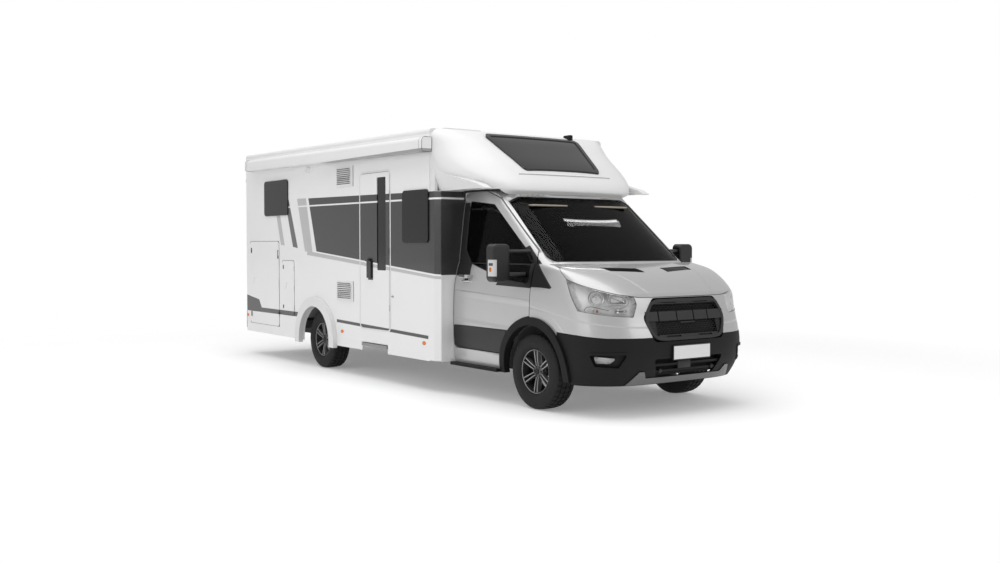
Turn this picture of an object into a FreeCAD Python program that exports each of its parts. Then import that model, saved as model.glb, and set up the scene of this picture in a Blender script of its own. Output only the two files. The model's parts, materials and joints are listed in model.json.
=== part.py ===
import FreeCAD, Part
import math
import os
import Sketcher
from FreeCAD import Rotation, Vector

# A low-profile coachbuilt motorhome: a silver van cab, a moulded cap over it and a
# sandwich-panel living body on a low chassis. X runs forward, Y to the vehicle's left
# and Z up. The origin is on the ground under the middle of the vehicle.

doc = FreeCAD.newDocument("Motorhome")
sheet = doc.addObject("Spreadsheet::Sheet", "dims")
rows_written = []
nodes = []


class Size(float):
    """A length in millimetres, with the sheet expression that gives it."""

    def __new__(cls, number, text):
        made = float.__new__(cls, number)
        made.text = text
        return made

    def __add__(self, other):
        return Size(float(self) + float(other), f"({self.text} + {written(other)})")

    def __radd__(self, other):
        return Size(float(other) + float(self), f"({written(other)} + {self.text})")

    def __sub__(self, other):
        return Size(float(self) - float(other), f"({self.text} - {written(other)})")

    def __rsub__(self, other):
        return Size(float(other) - float(self), f"({written(other)} - {self.text})")

    def __mul__(self, other):
        return Size(float(self) * float(other), f"({self.text} * {written(other)})")

    def __rmul__(self, other):
        return Size(float(other) * float(self), f"({written(other)} * {self.text})")

    def __truediv__(self, other):
        return Size(float(self) / float(other), f"({self.text} / {written(other)})")

    def __neg__(self):
        return Size(-float(self), f"(0 - {self.text})")


def written(value):
    """How a number or a size reads in an expression."""
    return value.text if isinstance(value, Size) else f"({float(value)!r})"


def size(name, number):
    """Writes one driving dimension in the sheet and gives it back."""
    rows_written.append(name)
    row = len(rows_written)
    sheet.set(f"A{row}", name)
    sheet.set(f"B{row}", repr(number))
    sheet.setAlias(f"B{row}", name)
    return Size(number, f"dims.{name}")


def bind(piece, prop, value):
    """Ties one property to the sheet."""
    piece.setExpression(prop, written(value))


def place(piece, x, y, z):
    """Ties a piece's place to the sheet."""
    bind(piece, "Placement.Base.x", x)
    bind(piece, "Placement.Base.y", y)
    bind(piece, "Placement.Base.z", z)


def node(piece, label):
    """Names a finished sub-part, which gives its file its name."""
    piece.Label = label
    nodes.append(piece)
    return piece


def box(name, x, y, z):
    """A block between the low and high of each axis."""
    made = doc.addObject("Part::Box", name)
    for prop, (low, high) in zip(("Length", "Width", "Height"), (x, y, z)):
        bind(made, prop, high - low)
    place(made, x[0], y[0], z[0])
    return made


TURNS = {"X": Rotation(Vector(0, 1, 0), 90), "Y": Rotation(Vector(1, 0, 0), -90), "Z": Rotation()}


def rod(name, axis, radius, length, start):
    """A round bar along an axis from its start."""
    made = doc.addObject("Part::Cylinder", name)
    made.Placement = FreeCAD.Placement(Vector(), TURNS[axis])
    bind(made, "Radius", radius)
    bind(made, "Height", length)
    place(made, *start)
    return made


def fuse(name, pieces):
    made = doc.addObject("Part::MultiFuse", name)
    made.Shapes = pieces
    return made


def cut(name, base, tool):
    made = doc.addObject("Part::Cut", name)
    made.Base = base
    made.Tool = tool
    return made


def bundle(name, pieces):
    """Like pieces on one body that don't touch, kept as separate solids."""
    made = doc.addObject("Part::Compound", name)
    made.Links = pieces
    return made


def shaped(label, shape):
    """A sub-part whose form is worked out from the sheet's sizes."""
    made = doc.addObject("Part::Feature", label)
    made.Shape = shape
    made.Placement = FreeCAD.Placement()
    return node(made, label)


# Flat outlines: corner points in one plane, each with its own rounding, used both for
# bound sketches and for plain prisms.
PLANES = {
    "XY": lambda u, v, w: Vector(u, v, w),
    "XZ": lambda u, v, w: Vector(u, w, v),
    "YZ": lambda u, v, w: Vector(w, u, v),
}


def corner_arc(before, at, after, radius):
    """Start, middle and end of the arc that rounds one corner."""
    back = (before - at).normalize()
    on = (after - at).normalize()
    half = back.getAngle(on) / 2
    reach = radius / math.tan(half)
    towards = (back + on).normalize()
    centre = at + towards * (radius / math.sin(half))
    return at + back * reach, centre - towards * radius, at + on * reach


def outline_edges(corners, lift=lambda u, v: Vector(u, v, 0)):
    """Lines and arcs round a list of (u, v, radius) corners, in order."""
    flat = [Vector(u, v, 0) for u, v, _ in corners]
    count = len(flat)
    arcs = []
    for i, (_, _, radius) in enumerate(corners):
        if radius > 0:
            arcs.append(corner_arc(flat[i - 1], flat[i], flat[(i + 1) % count], radius))
        else:
            arcs.append((flat[i], None, flat[i]))
    edges = []
    for i, (start, middle, end) in enumerate(arcs):
        if middle is not None:
            edges.append(Part.Arc(*(lift(p.x, p.y) for p in (start, middle, end))))
        nearest = arcs[(i + 1) % count][0]
        edges.append(Part.LineSegment(lift(end.x, end.y), lift(nearest.x, nearest.y)))
    return edges


def prism(plane, corners, low, high, grow=0):
    """A solid with a rounded outline in one plane, grown all round, between two depths."""
    lift = PLANES[plane]
    edges = [e.toShape() for e in outline_edges(corners, lambda u, v: lift(u, v, low))]
    wire = Part.Wire(edges)
    if grow:
        wire = wire.makeOffset2D(grow, 2)
    return Part.Face(wire).extrude(lift(0, 0, high - low))


def rectangle(u, v, radius=0):
    """The corners of an upright rectangle, all rounded alike."""
    return [(u[0], v[0], radius), (u[1], v[0], radius), (u[1], v[1], radius), (u[0], v[1], radius)]


def mirrored(shape):
    """The same shape on the other side of the vehicle."""
    return shape.mirror(Vector(), Vector(0, 1, 0))


def both(shape):
    return Part.makeCompound([shape, mirrored(shape)])


def origin_plane(body, role):
    return next(f for f in body.Origin.OriginFeatures if f.Role == role)


def draw(sketch, corners):
    """Draws one closed loop of straight lines whose corners are tied to the sheet."""
    first = sketch.GeometryCount
    points = [Vector(u, v, 0) for u, v, _ in corners]
    count = len(points)
    sketch.addGeometry([Part.LineSegment(points[k], points[(k + 1) % count])
                        for k in range(count)], False)
    for k, (u, v, _) in enumerate(corners):
        joint = Sketcher.Constraint("Coincident", first + k, 2, first + (k + 1) % count, 1)
        sketch.addConstraint(joint)
        tie(sketch, Sketcher.Constraint("DistanceX", -1, 1, first + k, 1, float(u)), u)
        tie(sketch, Sketcher.Constraint("DistanceY", -1, 1, first + k, 1, float(v)), v)


def tie(sketch, constraint, value):
    """Adds a constraint and ties its value to the sheet."""
    index = sketch.addConstraint(constraint)
    bind(sketch, f"Constraints[{index}]", value)


def sketched(body, plane, depth, loops):
    """A sketch of closed loops on one of a body's own planes, at a depth."""
    sketch = body.newObject("Sketcher::SketchObject", body.Name + "_sketch")
    sketch.AttachmentSupport = [(origin_plane(body, plane + "_Plane"), "")]
    sketch.MapMode = "FlatFace"
    bind(sketch, "AttachmentOffset.Base.z", depth)
    for corners in loops:
        draw(sketch, corners)
    return sketch


def padded(name, plane, depth, loops):
    """A body padded from a sketch between two depths, its corners rounded as they say."""
    body = doc.addObject("PartDesign::Body", name)
    low, high = depth
    pad = body.newObject("PartDesign::Pad", name + "_pad")
    pad.Profile = sketched(body, plane, -high if plane == "XZ" else low, loops)
    bind(pad, "Length", high - low)
    body.Tip = pad
    radii = {float(radius): radius for corners in loops for _, _, radius in corners if radius > 0}
    base = pad
    for number, radius in radii.items():
        doc.recompute()
        rounded = [(u, v) for corners in loops for u, v, r in corners if float(r) == number]
        edges = [f"Edge{k + 1}" for k, edge in enumerate(base.Shape.Edges)
                 if any(runs_at(edge, plane, u, v) for u, v in rounded)]
        fillet = body.newObject("PartDesign::Fillet", f"{name}_round_{len(body.Group)}")
        fillet.Base = (base, edges)
        bind(fillet, "Radius", radius)
        body.Tip = fillet
        base = fillet
    return body


def runs_at(edge, plane, u, v):
    """Whether an edge runs square to a plane at one corner of its outline."""
    lift = PLANES[plane]
    ends = [vertex.Point for vertex in edge.Vertexes]
    flat = [p - p.projectToPlane(Vector(), lift(0, 0, 1)) for p in ends]
    spots = [p - along for p, along in zip(ends, flat)]
    return all((spot - lift(u, v, 0)).Length < seal / 4 for spot in spots)


def turned(name, plane, corners, axis):
    """A body turned from one half section about an axis of its sketch."""
    body = doc.addObject("PartDesign::Body", name)
    sketch = sketched(body, plane, 0, [corners])
    spin = body.newObject("PartDesign::Revolution", name + "_spin")
    spin.Profile = sketch
    spin.ReferenceAxis = (sketch, [axis])
    spin.Angle = 360
    return body


# Shared sizes of the whole vehicle.
overrun = size("overrun", 60.0)
seal = size("seal", 0.4)
running_gap = size("running_gap", 8.0)
wheelbase = size("wheelbase", 4080.0)
front_overhang = size("front_overhang", 1030.0)
rear_overhang = size("rear_overhang", 2250.0)
body_width = size("body_width", 2320.0)
width_over_mirrors = size("width_over_mirrors", 2600.0)
front_tip = (wheelbase + front_overhang + rear_overhang) / 2
front_axle = front_tip - front_overhang
rear_axle = front_axle - wheelbase
half_body = body_width / 2
mirror_reach = width_over_mirrors / 2

# Cab: the master form that its panels are cut from. Each waterline is a bowed front
# between straight sides, and the form is lofted through them.
cab_width = size("cab_width", 2000.0)
cab_length = size("cab_length", 1300.0)
nose_reach = size("nose_reach", 1008.0)
cowl_height = size("cowl_height", 1335.0)
cowl_reach = size("cowl_reach", 223.0)
header_height = size("header_height", 2040.0)
header_reach = size("header_reach", -640.0)
cab_skin = size("cab_skin", 60.0)
glass_thickness = size("glass_thickness", 6.0)
glass_depth = size("glass_depth", 8.0)
half_cab = cab_width / 2
cab_rear = front_axle - cab_length
sill_foot = size("sill_foot", 330.0)

# Side and set-back of the front outline, as shares of half width and of corner depth.
NOSE_SHARES = [(0, 0), (0.25, 0), (0.48, 0.02), (0.68, 0.09), (0.85, 0.26), (0.97, 0.52), (1, 0.80)]
SCREEN_SHARES = [(0, 0), (0.30, 0.01), (0.60, 0.09), (0.83, 0.23), (0.96, 0.45), (1, 0.80)]
# Height, reach, half width and corner depth, as shares of cowl height, nose reach and
# half width, from the bumper's foot over the bonnet's front edge to the cowl.
FACE_SHARES = [
    (0.210, 0.880, 0.970, 0.58), (0.300, 0.970, 0.990, 0.61), (0.419, 1.012, 1.002, 0.63),
    (0.524, 1.000, 1.004, 0.63), (0.637, 0.950, 1.004, 0.62), (0.749, 0.925, 1.000, 0.61),
    (0.800, 0.905, 0.995, 0.58), (0.828, 0.855, 0.990, 0.52), (0.886, 0.740, 0.975, 0.40),
    (0.940, 0.590, 0.960, 0.29), (0.975, 0.430, 0.947, 0.21), (1.000, 0.219, 0.932, 0.14),
]
# Height between cowl and header, reach between theirs, half width and depth.
GLASS_SHARES = [(0, 0, 0.932, 0.40), (0.35, 0.345, 0.905, 0.38), (0.70, 0.70, 0.875, 0.35),
                (1, 1, 0.845, 0.33)]


def plan_ring(height, reach, half, depth, rear, shares):
    """Control points round a plan outline: a bowed front between straight sides."""
    nose = [Vector(reach - back * depth, -side * half, height) for side, back in shares]
    side_start = nose[-1].x
    side = [Vector(side_start + (rear - side_start) * k / 3, -half, height) for k in (1, 2, 3)]
    right = nose + side
    return right[::-1] + [Vector(p.x, -p.y, p.z) for p in right[1:]]


def knots(poles, degree):
    """Multiplicities and knots of an evenly spaced spline that ends on its poles."""
    inner = poles - degree - 1
    return [degree + 1] + [1] * inner + [degree + 1], list(range(inner + 2))


def moulded(rows, rear, shares):
    """A solid with one smooth skin through control outlines, flat below, above and behind."""
    net = [plan_ring(*row, rear, shares) for row in rows]
    row_mults, row_knots = knots(len(net), 2)
    ring_mults, ring_knots = knots(len(net[0]), 3)
    surface = Part.BSplineSurface()
    surface.buildFromPolesMultsKnots(net, row_mults, ring_mults, row_knots, ring_knots,
                                     False, False, 2, 3)
    skin = surface.toShape()
    ends = [v.Point for v in skin.Vertexes]
    low, high = min(p.z for p in ends), max(p.z for p in ends)
    bottom = next(e for e in skin.Edges if all(abs(v.Z - low) < seal for v in e.Vertexes))
    top = next(e for e in skin.Edges if all(abs(v.Z - high) < seal for v in e.Vertexes))
    sides = [e for e in skin.Edges if abs(e.Vertexes[0].Z - e.Vertexes[-1].Z) > seal]
    closing = [Part.makeLine(*(v.Point for v in e.Vertexes)) for e in (bottom, top)]
    back = Part.Wire(Part.__sortEdges__(closing + sides))
    faces = [skin, Part.Face(Part.Wire([bottom, closing[0]])),
             Part.Face(Part.Wire([top, closing[1]])), Part.Face(back)]
    shell = Part.makeShell(faces)
    shell.sewShape()
    solid = Part.makeSolid(shell)
    if solid.Volume < 0:
        solid.reverse()
    return solid


def cab_form(inset):
    """The cab's outer form, or the same form drawn in by an inset: nose and glasshouse."""
    rear = cab_rear if inset <= 0 else cab_rear - overrun
    half = half_cab - inset
    reach = nose_reach - inset
    top = cowl_height - inset
    face = [(top * h, front_axle + reach * r, half * w, half_cab * d) for h, r, w, d in FACE_SHARES]
    if inset > 0:
        face.insert(0, (face[0][0] - overrun, *face[0][1:]))
    glass = []
    for h, r, w, d in GLASS_SHARES:
        z = top + (header_height - cowl_height) * h
        x = front_axle + cowl_reach + (header_reach - cowl_reach) * r - inset
        glass.append((z, x, half_cab * w - inset, half_cab * d))
    return [moulded(face, rear, NOSE_SHARES), moulded(glass, rear, SCREEN_SHARES)]


def cab_x(share):
    """A place behind the front axle, as a share of the cab's length."""
    return front_axle - cab_length * share


known_forms = {}


def cab_wall(zone, outer, inner):
    """What a zone cuts from the cab's wall between two insets."""
    for inset in (outer, inner):
        if float(inset) not in known_forms:
            known_forms[float(inset)] = cab_form(inset)
    pieces = []
    for solid in known_forms[float(outer)]:
        piece = solid.common(zone)
        for core in known_forms[float(inner)]:
            piece = piece.cut(core)
        pieces += piece.Solids
    return joined(pieces)


def joined(pieces):
    """One shape out of touching or separate solids."""
    if len(pieces) == 1:
        return pieces[0]
    return pieces[0].fuse(pieces[1:]).removeSplitter()


def block(x, y, z):
    """A plain block between the low and high of each axis, for cutting."""
    return Part.makeBox(x[1] - x[0], y[1] - y[0], z[1] - z[0], Vector(x[0], y[0], z[0]))


def disc(axis, radius, low, high, at):
    """A cylinder along one axis between two depths, centred on a point."""
    base = Vector(at)
    setattr(base, axis, low)
    along = Vector()
    setattr(along, axis, 1)
    return Part.makeCylinder(radius, high - low, base, along)


# Places in side view are given behind the front axle and above the ground, as shares of
# the cab's length and of its height.
def side_corners(shares, radius=0):
    return [(front_axle - cab_length * back, header_height * up, radius) for back, up in shares]


# Wheels and arches.
tyre_radius = size("tyre_radius", 350.0)
tyre_width = size("tyre_width", 235.0)
bead_radius = size("bead_radius", 203.0)
rim_width = size("rim_width", 190.0)
front_track = size("front_track", 1744.0)
rear_track = size("rear_track", 1976.0)
arch_radius = size("arch_radius", 426.0)
flare_width = size("flare_width", 74.0)
flare_stand = size("flare_stand", 26.0)
wheelhouse_depth = size("wheelhouse_depth", 500.0)
axle_height = tyre_radius
front_hub = Vector(front_axle, 0, axle_height)
flare_radius = arch_radius + flare_width
arch_cylinder = both(disc("y", arch_radius, wheelhouse_depth, half_body, front_hub))
flare_cylinder = both(disc("y", flare_radius, wheelhouse_depth, half_body, front_hub))

# Side-view outlines of the cab's panels: behind the axle and above the ground, as shares
# of the cab's length and height.
DOOR_SHARES = [(0.9885, 0.236), (0.9885, 1.000), (0.715, 1.000), (0.560, 0.962), (0.071, 0.713),
               (0.037, 0.665), (0.037, 0.236)]
GLASS_OPENING_SHARES = [(0.838, 0.650), (0.925, 0.715), (0.925, 0.957), (0.600, 0.935),
                        (0.085, 0.684), (0.070, 0.560), (0.330, 0.573)]
CLADDING_SHARES = [(0.980, 0.243), (0.980, 0.348), (0.300, 0.340), (0.300, 0.243)]
BONNET_SHARES = [(-0.182, 0.680), (-0.182, 0.646), (-0.230, 0.638), (-0.335, 0.592),
                 (-0.660, 0.524), (-0.690, 0.516), (-0.850, 0.516), (-0.850, 0.680)]
LAMP_SHARES = [(-0.331, 0.590), (-0.458, 0.458), (-0.700, 0.432), (-0.720, 0.514), (-0.655, 0.520)]
BUMPER_SHARES = [(-0.270, 0.120), (-0.270, 0.362), (-0.460, 0.356), (-0.640, 0.346), (-0.900, 0.344),
                 (-0.900, 0.120)]
QUARTER_SHARES = [(0.050, 0.675), (0.050, 0.555), (-0.188, 0.546)]
# Front-view outlines: to the side and above the ground, as shares of half the cab's
# width and of the cowl's height.
SCREEN_VIEW_SHARES = [(0.845, 1.012), (0.785, 1.482)]
GRILLE_VIEW_SHARES = [(0.432, 0.497), (0.512, 0.655), (0.388, 0.782)]
LAMP_VIEW_SHARES = [(0.616, 0.640), (0.557, 0.743), (0.588, 0.840)]
INTAKE_VIEW_SHARES = [(0.360, 0.262), (0.430, 0.385)]
SKID_VIEW_SHARES = [(0.640, 0.214), (0.560, 0.304), (0.510, 0.304), (0.470, 0.258)]
VENT_PLAN_SHARES = [(0.399, 0.552), (0.459, 0.153), (0.576, 0.144), (0.521, 0.519)]
# The fog lamp's recess and lens, seen square on to the bumper's corner.
FOG_PLACE_SHARES = (0.806, 0.800)
FOG_RECESS_SHARES = [(-0.165, 0.418), (-0.118, 0.345), (0.089, 0.336), (0.166, 0.424)]
FOG_LENS_SHARES = [(-0.128, 0.412), (-0.110, 0.366), (0.012, 0.362), (0.078, 0.400)]


def front_corners(shares, radius=0):
    """A front-view outline that is the same on both sides."""
    right = [(-half_cab * side, cowl_height * up, radius) for side, up in shares]
    left = [(-u, v, radius) for u, v, _ in right]
    return right + left[::-1]


far_out = half_body + overrun
nose_front = front_tip + overrun
bonnet_skin = size("bonnet_skin", 40.0)
door_swing_gap = size("door_swing_gap", 9.0)
panel_gap = size("panel_gap", 5.0)
screen_corner = size("screen_corner", 60.0)
door_corner = size("door_corner", 70.0)
glass_corner = size("glass_corner", 40.0)
grille_corner = size("grille_corner", 62.0)


# The door's edge stays outside this depth, where the roof panel begins.
door_depth = half_cab * GLASS_SHARES[-1][2] - cab_skin


def outer_prism(shares, radius=0, grow=0):
    """A prism through the right side's wall from a side-view outline."""
    return prism("XZ", side_corners(shares, radius), -far_out, -door_depth, grow=grow)


door_zone = outer_prism(DOOR_SHARES, door_corner)
door_zone = door_zone.cut(disc("y", flare_radius + door_swing_gap, -far_out, 0, front_hub))
door_hole = outer_prism(DOOR_SHARES, door_corner, door_swing_gap)
door_window = outer_prism(GLASS_OPENING_SHARES, glass_corner)
screen_hole = prism("YZ", front_corners(SCREEN_VIEW_SHARES, screen_corner),
                    front_axle - cab_length / 2, nose_front)
grille_hole = prism("YZ", front_corners(GRILLE_VIEW_SHARES, grille_corner), front_axle, nose_front)
intake_hole = prism("YZ", front_corners(INTAKE_VIEW_SHARES, glass_corner / 2), front_axle, nose_front)
bonnet_zone = prism("XZ", side_corners(BONNET_SHARES), -far_out, far_out)
bonnet_hole = prism("XZ", side_corners(BONNET_SHARES), -far_out, far_out, grow=panel_gap)
bumper_zone = prism("XZ", side_corners(BUMPER_SHARES), -far_out, far_out)
wing_rear = front_axle - cab_length * DOOR_SHARES[-1][0] + door_swing_gap


def lamp_zone(grow=0):
    """The headlamp's place: its side-view outline outside its inner edge in front view."""
    side = prism("XZ", side_corners(LAMP_SHARES), -far_out, 0, grow=grow)
    inner = [(-half_cab * s, cowl_height * up, 0) for s, up in LAMP_VIEW_SHARES]
    low = (inner[0][0], cowl_height / 2, 0)
    top = (inner[-1][0], cowl_height, 0)
    edge = inner + [top, (-far_out, top[1], 0), (-far_out, low[1], 0), low]
    return side.common(prism("YZ", edge, front_axle, nose_front, grow=grow))


def fog_zone(shares, grow=0):
    """A block through the bumper's right corner, square on to it, from an outline there."""
    corners = [(half_cab * s, cowl_height * up, glass_corner / 3) for s, up in shares]
    zone = prism("YZ", corners, -fog_reach, fog_reach, grow=grow)
    zone.rotate(Vector(), Vector(0, 0, 1), -fog_turn)
    ahead, out = FOG_PLACE_SHARES
    zone.translate(Vector(front_axle + half_cab * ahead, -half_cab * out, 0))
    return zone


# Bonnet, wings and bumper.
vent_depth = size("vent_depth", 7.0)
vent_zone = both(prism("XY", [(front_axle + half_cab * ahead, -half_cab * out, glass_corner / 5)
                              for ahead, out in VENT_PLAN_SHARES], cowl_height / 2, header_height))
bonnet_outer = cab_wall(bonnet_zone, 0, bonnet_skin)
shaped("bonnet", bonnet_outer.cut(cab_wall(vent_zone, -seal, vent_depth)))

wing_zone = block((wing_rear, nose_front), (-far_out, far_out), (tyre_radius, cowl_height))
quarter_zone = both(outer_prism(QUARTER_SHARES))
for tool in (bonnet_hole, both(lamp_zone(seal)), grille_hole, flare_cylinder,
             prism("XZ", side_corners(BUMPER_SHARES), -far_out, far_out, grow=seal), quarter_zone):
    wing_zone = wing_zone.cut(tool)
wings = cab_wall(wing_zone, 0, bonnet_skin)
wings = Part.makeCompound([s for s in wings.Solids if s.BoundBox.ZMax > cowl_height * 0.8])
shaped("front_wings", wings)

intake_bar = size("intake_bar", 22.0)
bumper_cut = bumper_zone
fog_depth = size("fog_depth", 22.0)
fog_reach = size("fog_reach", 160.0)
fog_turn = size("fog_turn", 38.7)
fog_rim = size("fog_rim", 20.0)
fog_rim_stand = size("fog_rim_stand", 7.0)
fog_recess = both(fog_zone(FOG_RECESS_SHARES))
fog_lens = both(fog_zone(FOG_LENS_SHARES))
for tool in (flare_cylinder, grille_hole, intake_hole, fog_recess):
    bumper_cut = bumper_cut.cut(tool)
bumper = cab_wall(bumper_cut, 0, bonnet_skin)
fog_ring = cab_wall(both(fog_zone(FOG_RECESS_SHARES, fog_rim)).cut(fog_recess).common(bumper_zone),
                    -fog_rim_stand, bonnet_skin / 2)
fog_floor = cab_wall(both(fog_zone(FOG_RECESS_SHARES, seal)).cut(fog_lens), fog_depth, bonnet_skin + seal)
bars = []
intake_low, intake_high = (cowl_height * share for _, share in INTAKE_VIEW_SHARES)
for share in (0.25, 0.6):
    z = intake_low + (intake_high - intake_low) * share
    zone = block((front_axle + half_cab * 0.7, nose_front), (-half_cab * 0.45, half_cab * 0.45),
                 (z, z + intake_bar))
    bars.append(cab_wall(zone, bonnet_skin / 2, bonnet_skin))
shaped("front_bumper", joined(bumper.Solids + fog_ring.Solids + fog_floor.Solids
                              + [s for b in bars for s in b.Solids]))

skid_stand = size("skid_stand", 10.0)
skid_zone = prism("YZ", front_corners(SKID_VIEW_SHARES), front_axle + half_cab / 2, nose_front)
shaped("skid_plate", cab_wall(skid_zone, -skid_stand, -seal))

plate_width = size("plate_width", 455.0)
plate_height = size("plate_height", 115.0)
plate_foot = size("plate_foot", 505.0)
plate_thickness = size("plate_thickness", 14.0)
number_plate = box("number_plate", (front_tip - plate_thickness, front_tip),
                   (-plate_width / 2, plate_width / 2), (plate_foot, plate_foot + plate_height))
node(number_plate, "number_plate")

# Lamps: clear-fronted units that fill their places in the wings and the bumper.
lamp_skin = size("lamp_skin", 46.0)
lamp_set_in = size("lamp_set_in", 2.0)
headlamp = cab_wall(lamp_zone(), lamp_set_in, lamp_skin)
fog_lamp = cab_wall(fog_zone(FOG_LENS_SHARES, -seal), fog_depth / 2, bonnet_skin + fog_depth)
shaped("front_lamps", both(Part.makeCompound([headlamp, fog_lamp])))

# Grille: a framed hexagon with a bar across it and a lattice behind.
grille_frame = size("grille_frame", 34.0)
grille_bar_height = size("grille_bar_height", 96.0)
grille_slat = size("grille_slat", 9.0)
grille_wall = size("grille_wall", 10.0)
grille_zone = prism("YZ", front_corners(GRILLE_VIEW_SHARES, grille_corner), front_axle, nose_front,
                    grow=-seal)
grille_inner = prism("YZ", front_corners(GRILLE_VIEW_SHARES, grille_corner), front_axle, nose_front,
                     grow=-grille_frame)
grille_low, grille_mid, grille_high = (cowl_height * share for _, share in GRILLE_VIEW_SHARES)
ring = cab_wall(grille_zone.cut(grille_inner), -grille_wall, bonnet_skin)
bar_zone = grille_zone.common(block((front_axle, nose_front), (-half_cab, half_cab),
                                    (grille_mid - grille_bar_height / 4,
                                     grille_mid + grille_bar_height * 3 / 4)))
bar = cab_wall(bar_zone, 0, bonnet_skin / 2)
slats = []
slat_count = 11
for k in range(1, slat_count):
    z = grille_low + (grille_high - grille_low) * k / slat_count
    slats.append(block((front_axle, nose_front), (-half_cab, half_cab), (z, z + grille_slat)))
for k in range(-8, 9):
    y = half_cab * GRILLE_VIEW_SHARES[1][0] * k / 9
    slats.append(block((front_axle, nose_front), (y - grille_slat / 2, y + grille_slat / 2),
                       (0, cowl_height)))
lattice = cab_wall(joined(slats).common(grille_zone), bonnet_skin / 2, bonnet_skin * 0.75)
shaped("grille", joined(ring.Solids + bar.Solids + lattice.Solids))

# Wheel arch flares.
flare_zone = disc("y", flare_radius - seal, -far_out, -half_cab * 0.8, front_hub).cut(
    disc("y", arch_radius, -far_out, 0, front_hub))
flare_base = size("flare_base", 300.0)
flare_foot = block((front_axle - flare_radius, front_axle + flare_radius), (-far_out, 0),
                   (0, flare_base))
flare = cab_wall(flare_zone.cut(flare_foot), -flare_stand, bonnet_skin)

# Cab doors, with cladding along their foot, a handle, and the glass set in them.
cladding_stand = size("cladding_stand", 9.0)
handle_length = size("handle_length", 150.0)
handle_height = size("handle_height", 34.0)
handle_stand = size("handle_stand", 36.0)
cladding_zone = outer_prism(CLADDING_SHARES, glass_corner / 2).cut(
    disc("y", flare_radius + door_swing_gap, -far_out, 0, front_hub))
handle_x = front_axle - cab_length * 0.885
handle_z = header_height * 0.578
handle = block((handle_x, handle_x + handle_length), (-half_cab - handle_stand, -half_cab * 0.9),
               (handle_z, handle_z + handle_height))
finger_hole = block((handle_x + handle_height / 2, handle_x + handle_length - handle_height / 2),
                    (-half_cab - handle_stand / 3, -half_cab * 0.9), (handle_z - seal, cowl_height))
door = cab_wall(door_zone.cut(door_window), 0, cab_skin)
cladding = cab_wall(cladding_zone, -cladding_stand, cab_skin / 2)
handle = handle.cut(finger_hole).cut(cab_form(seal)[0])
door = joined(door.Solids + cladding.Solids + handle.Solids)
pane = cab_wall(outer_prism(GLASS_OPENING_SHARES, glass_corner, -seal), glass_depth,
                glass_depth + glass_thickness)

# Door mirrors: two arms from the door and a tall housing with its glass behind.
mirror_width = size("mirror_width", 195.0)
mirror_height = size("mirror_height", 350.0)
mirror_depth = size("mirror_depth", 110.0)
mirror_low = size("mirror_low", 1168.0)
mirror_set_back = size("mirror_set_back", 300.0)
mirror_arm = size("mirror_arm", 17.0)
mirror_front = front_axle - mirror_set_back + mirror_depth
housing = prism("YZ", rectangle((-mirror_reach, -mirror_reach + mirror_width),
                                (mirror_low, mirror_low + mirror_height), mirror_width / 4),
                mirror_front - mirror_depth, mirror_front)
housing = housing.makeFillet(mirror_depth / 4, [e for e in housing.Edges
                                                if all(v.X > mirror_front - seal for v in e.Vertexes)])
arms = []
for share, root in ((0.2, 0.93), (0.8, 0.87)):
    z = mirror_low + mirror_height * share
    start = Vector(front_axle - mirror_set_back * 0.55, -half_cab * root, z)
    end = Vector(mirror_front - mirror_depth / 2, -mirror_reach + mirror_width * 0.8, z)
    arms.append(Part.makeCylinder(mirror_arm, (end - start).Length, start, end - start))
mirror = joined([housing] + arms)
for core in cab_form(-seal):
    mirror = mirror.cut(core.cut(door_window))
for core in cab_form(glass_depth - seal):
    mirror = mirror.cut(core)
mirror = max(mirror.Solids, key=lambda s: s.Volume)

for label, turn in (("right", lambda shape: shape), ("left", mirrored)):
    shaped(f"cab_door_{label}", turn(door))
    shaped(f"cab_door_glass_{label}", turn(pane))
    shaped(f"mirror_{label}", turn(mirror))

door_holes = both(door_hole)
screen_pane = prism("YZ", front_corners(SCREEN_VIEW_SHARES, screen_corner),
                    front_axle - cab_length / 2, nose_front, grow=-seal).cut(door_holes)
shaped("windscreen", cab_wall(screen_pane, glass_depth, glass_depth + glass_thickness))

# Cab body: roof, pillars, sills, door rings, firewall and floor.
cab_floor = size("cab_floor", 600.0)
floor_thickness = size("floor_thickness", 40.0)
ring_depth = size("ring_depth", 40.0)
frame_lap = size("frame_lap", 30.0)
firewall_reach = size("firewall_reach", 110.0)
arch_wall = size("arch_wall", 10.0)
behind = block((cab_rear, wing_rear - door_swing_gap), (-far_out, far_out),
               (sill_foot, header_height + overrun))
over_nose = block((cab_rear, nose_front), (-far_out, far_out),
                  (cowl_height, header_height + overrun))
body_zone = behind.fuse(over_nose)
roof_hole = block((cab_rear - overrun, front_axle - cab_length * 0.62),
                  (-half_cab * 0.7, half_cab * 0.7), (cowl_height, header_height + overrun))
inner_zone = behind.cut(both(outer_prism(DOOR_SHARES, door_corner, -frame_lap * 2)))
for tool in (door_holes, screen_hole, roof_hole, quarter_zone, flare_cylinder):
    body_zone = body_zone.cut(tool)
outer = cab_wall(body_zone, 0, cab_skin)
ring_start = cab_skin + door_swing_gap
inner = cab_wall(inner_zone.cut(arch_cylinder), ring_start, ring_start + ring_depth)
hinge_relief = block((wing_rear - ring_depth * 3, nose_front), (-far_out, far_out),
                     (cowl_height * 0.92, cowl_height * 1.08))
inner = inner.cut(cab_wall(hinge_relief, 0, ring_start + ring_depth / 2))
core = cab_form(cab_skin)[0]
firewall = core.common(block((front_axle + firewall_reach, front_axle + firewall_reach + floor_thickness),
                             (-half_cab, half_cab), (cab_floor - floor_thickness, cowl_height)))
deck = block((cab_rear, front_axle + firewall_reach + seal),
             (-half_cab + cab_skin + door_swing_gap, half_cab - cab_skin - door_swing_gap),
             (cab_floor - floor_thickness, cab_floor))
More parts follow.
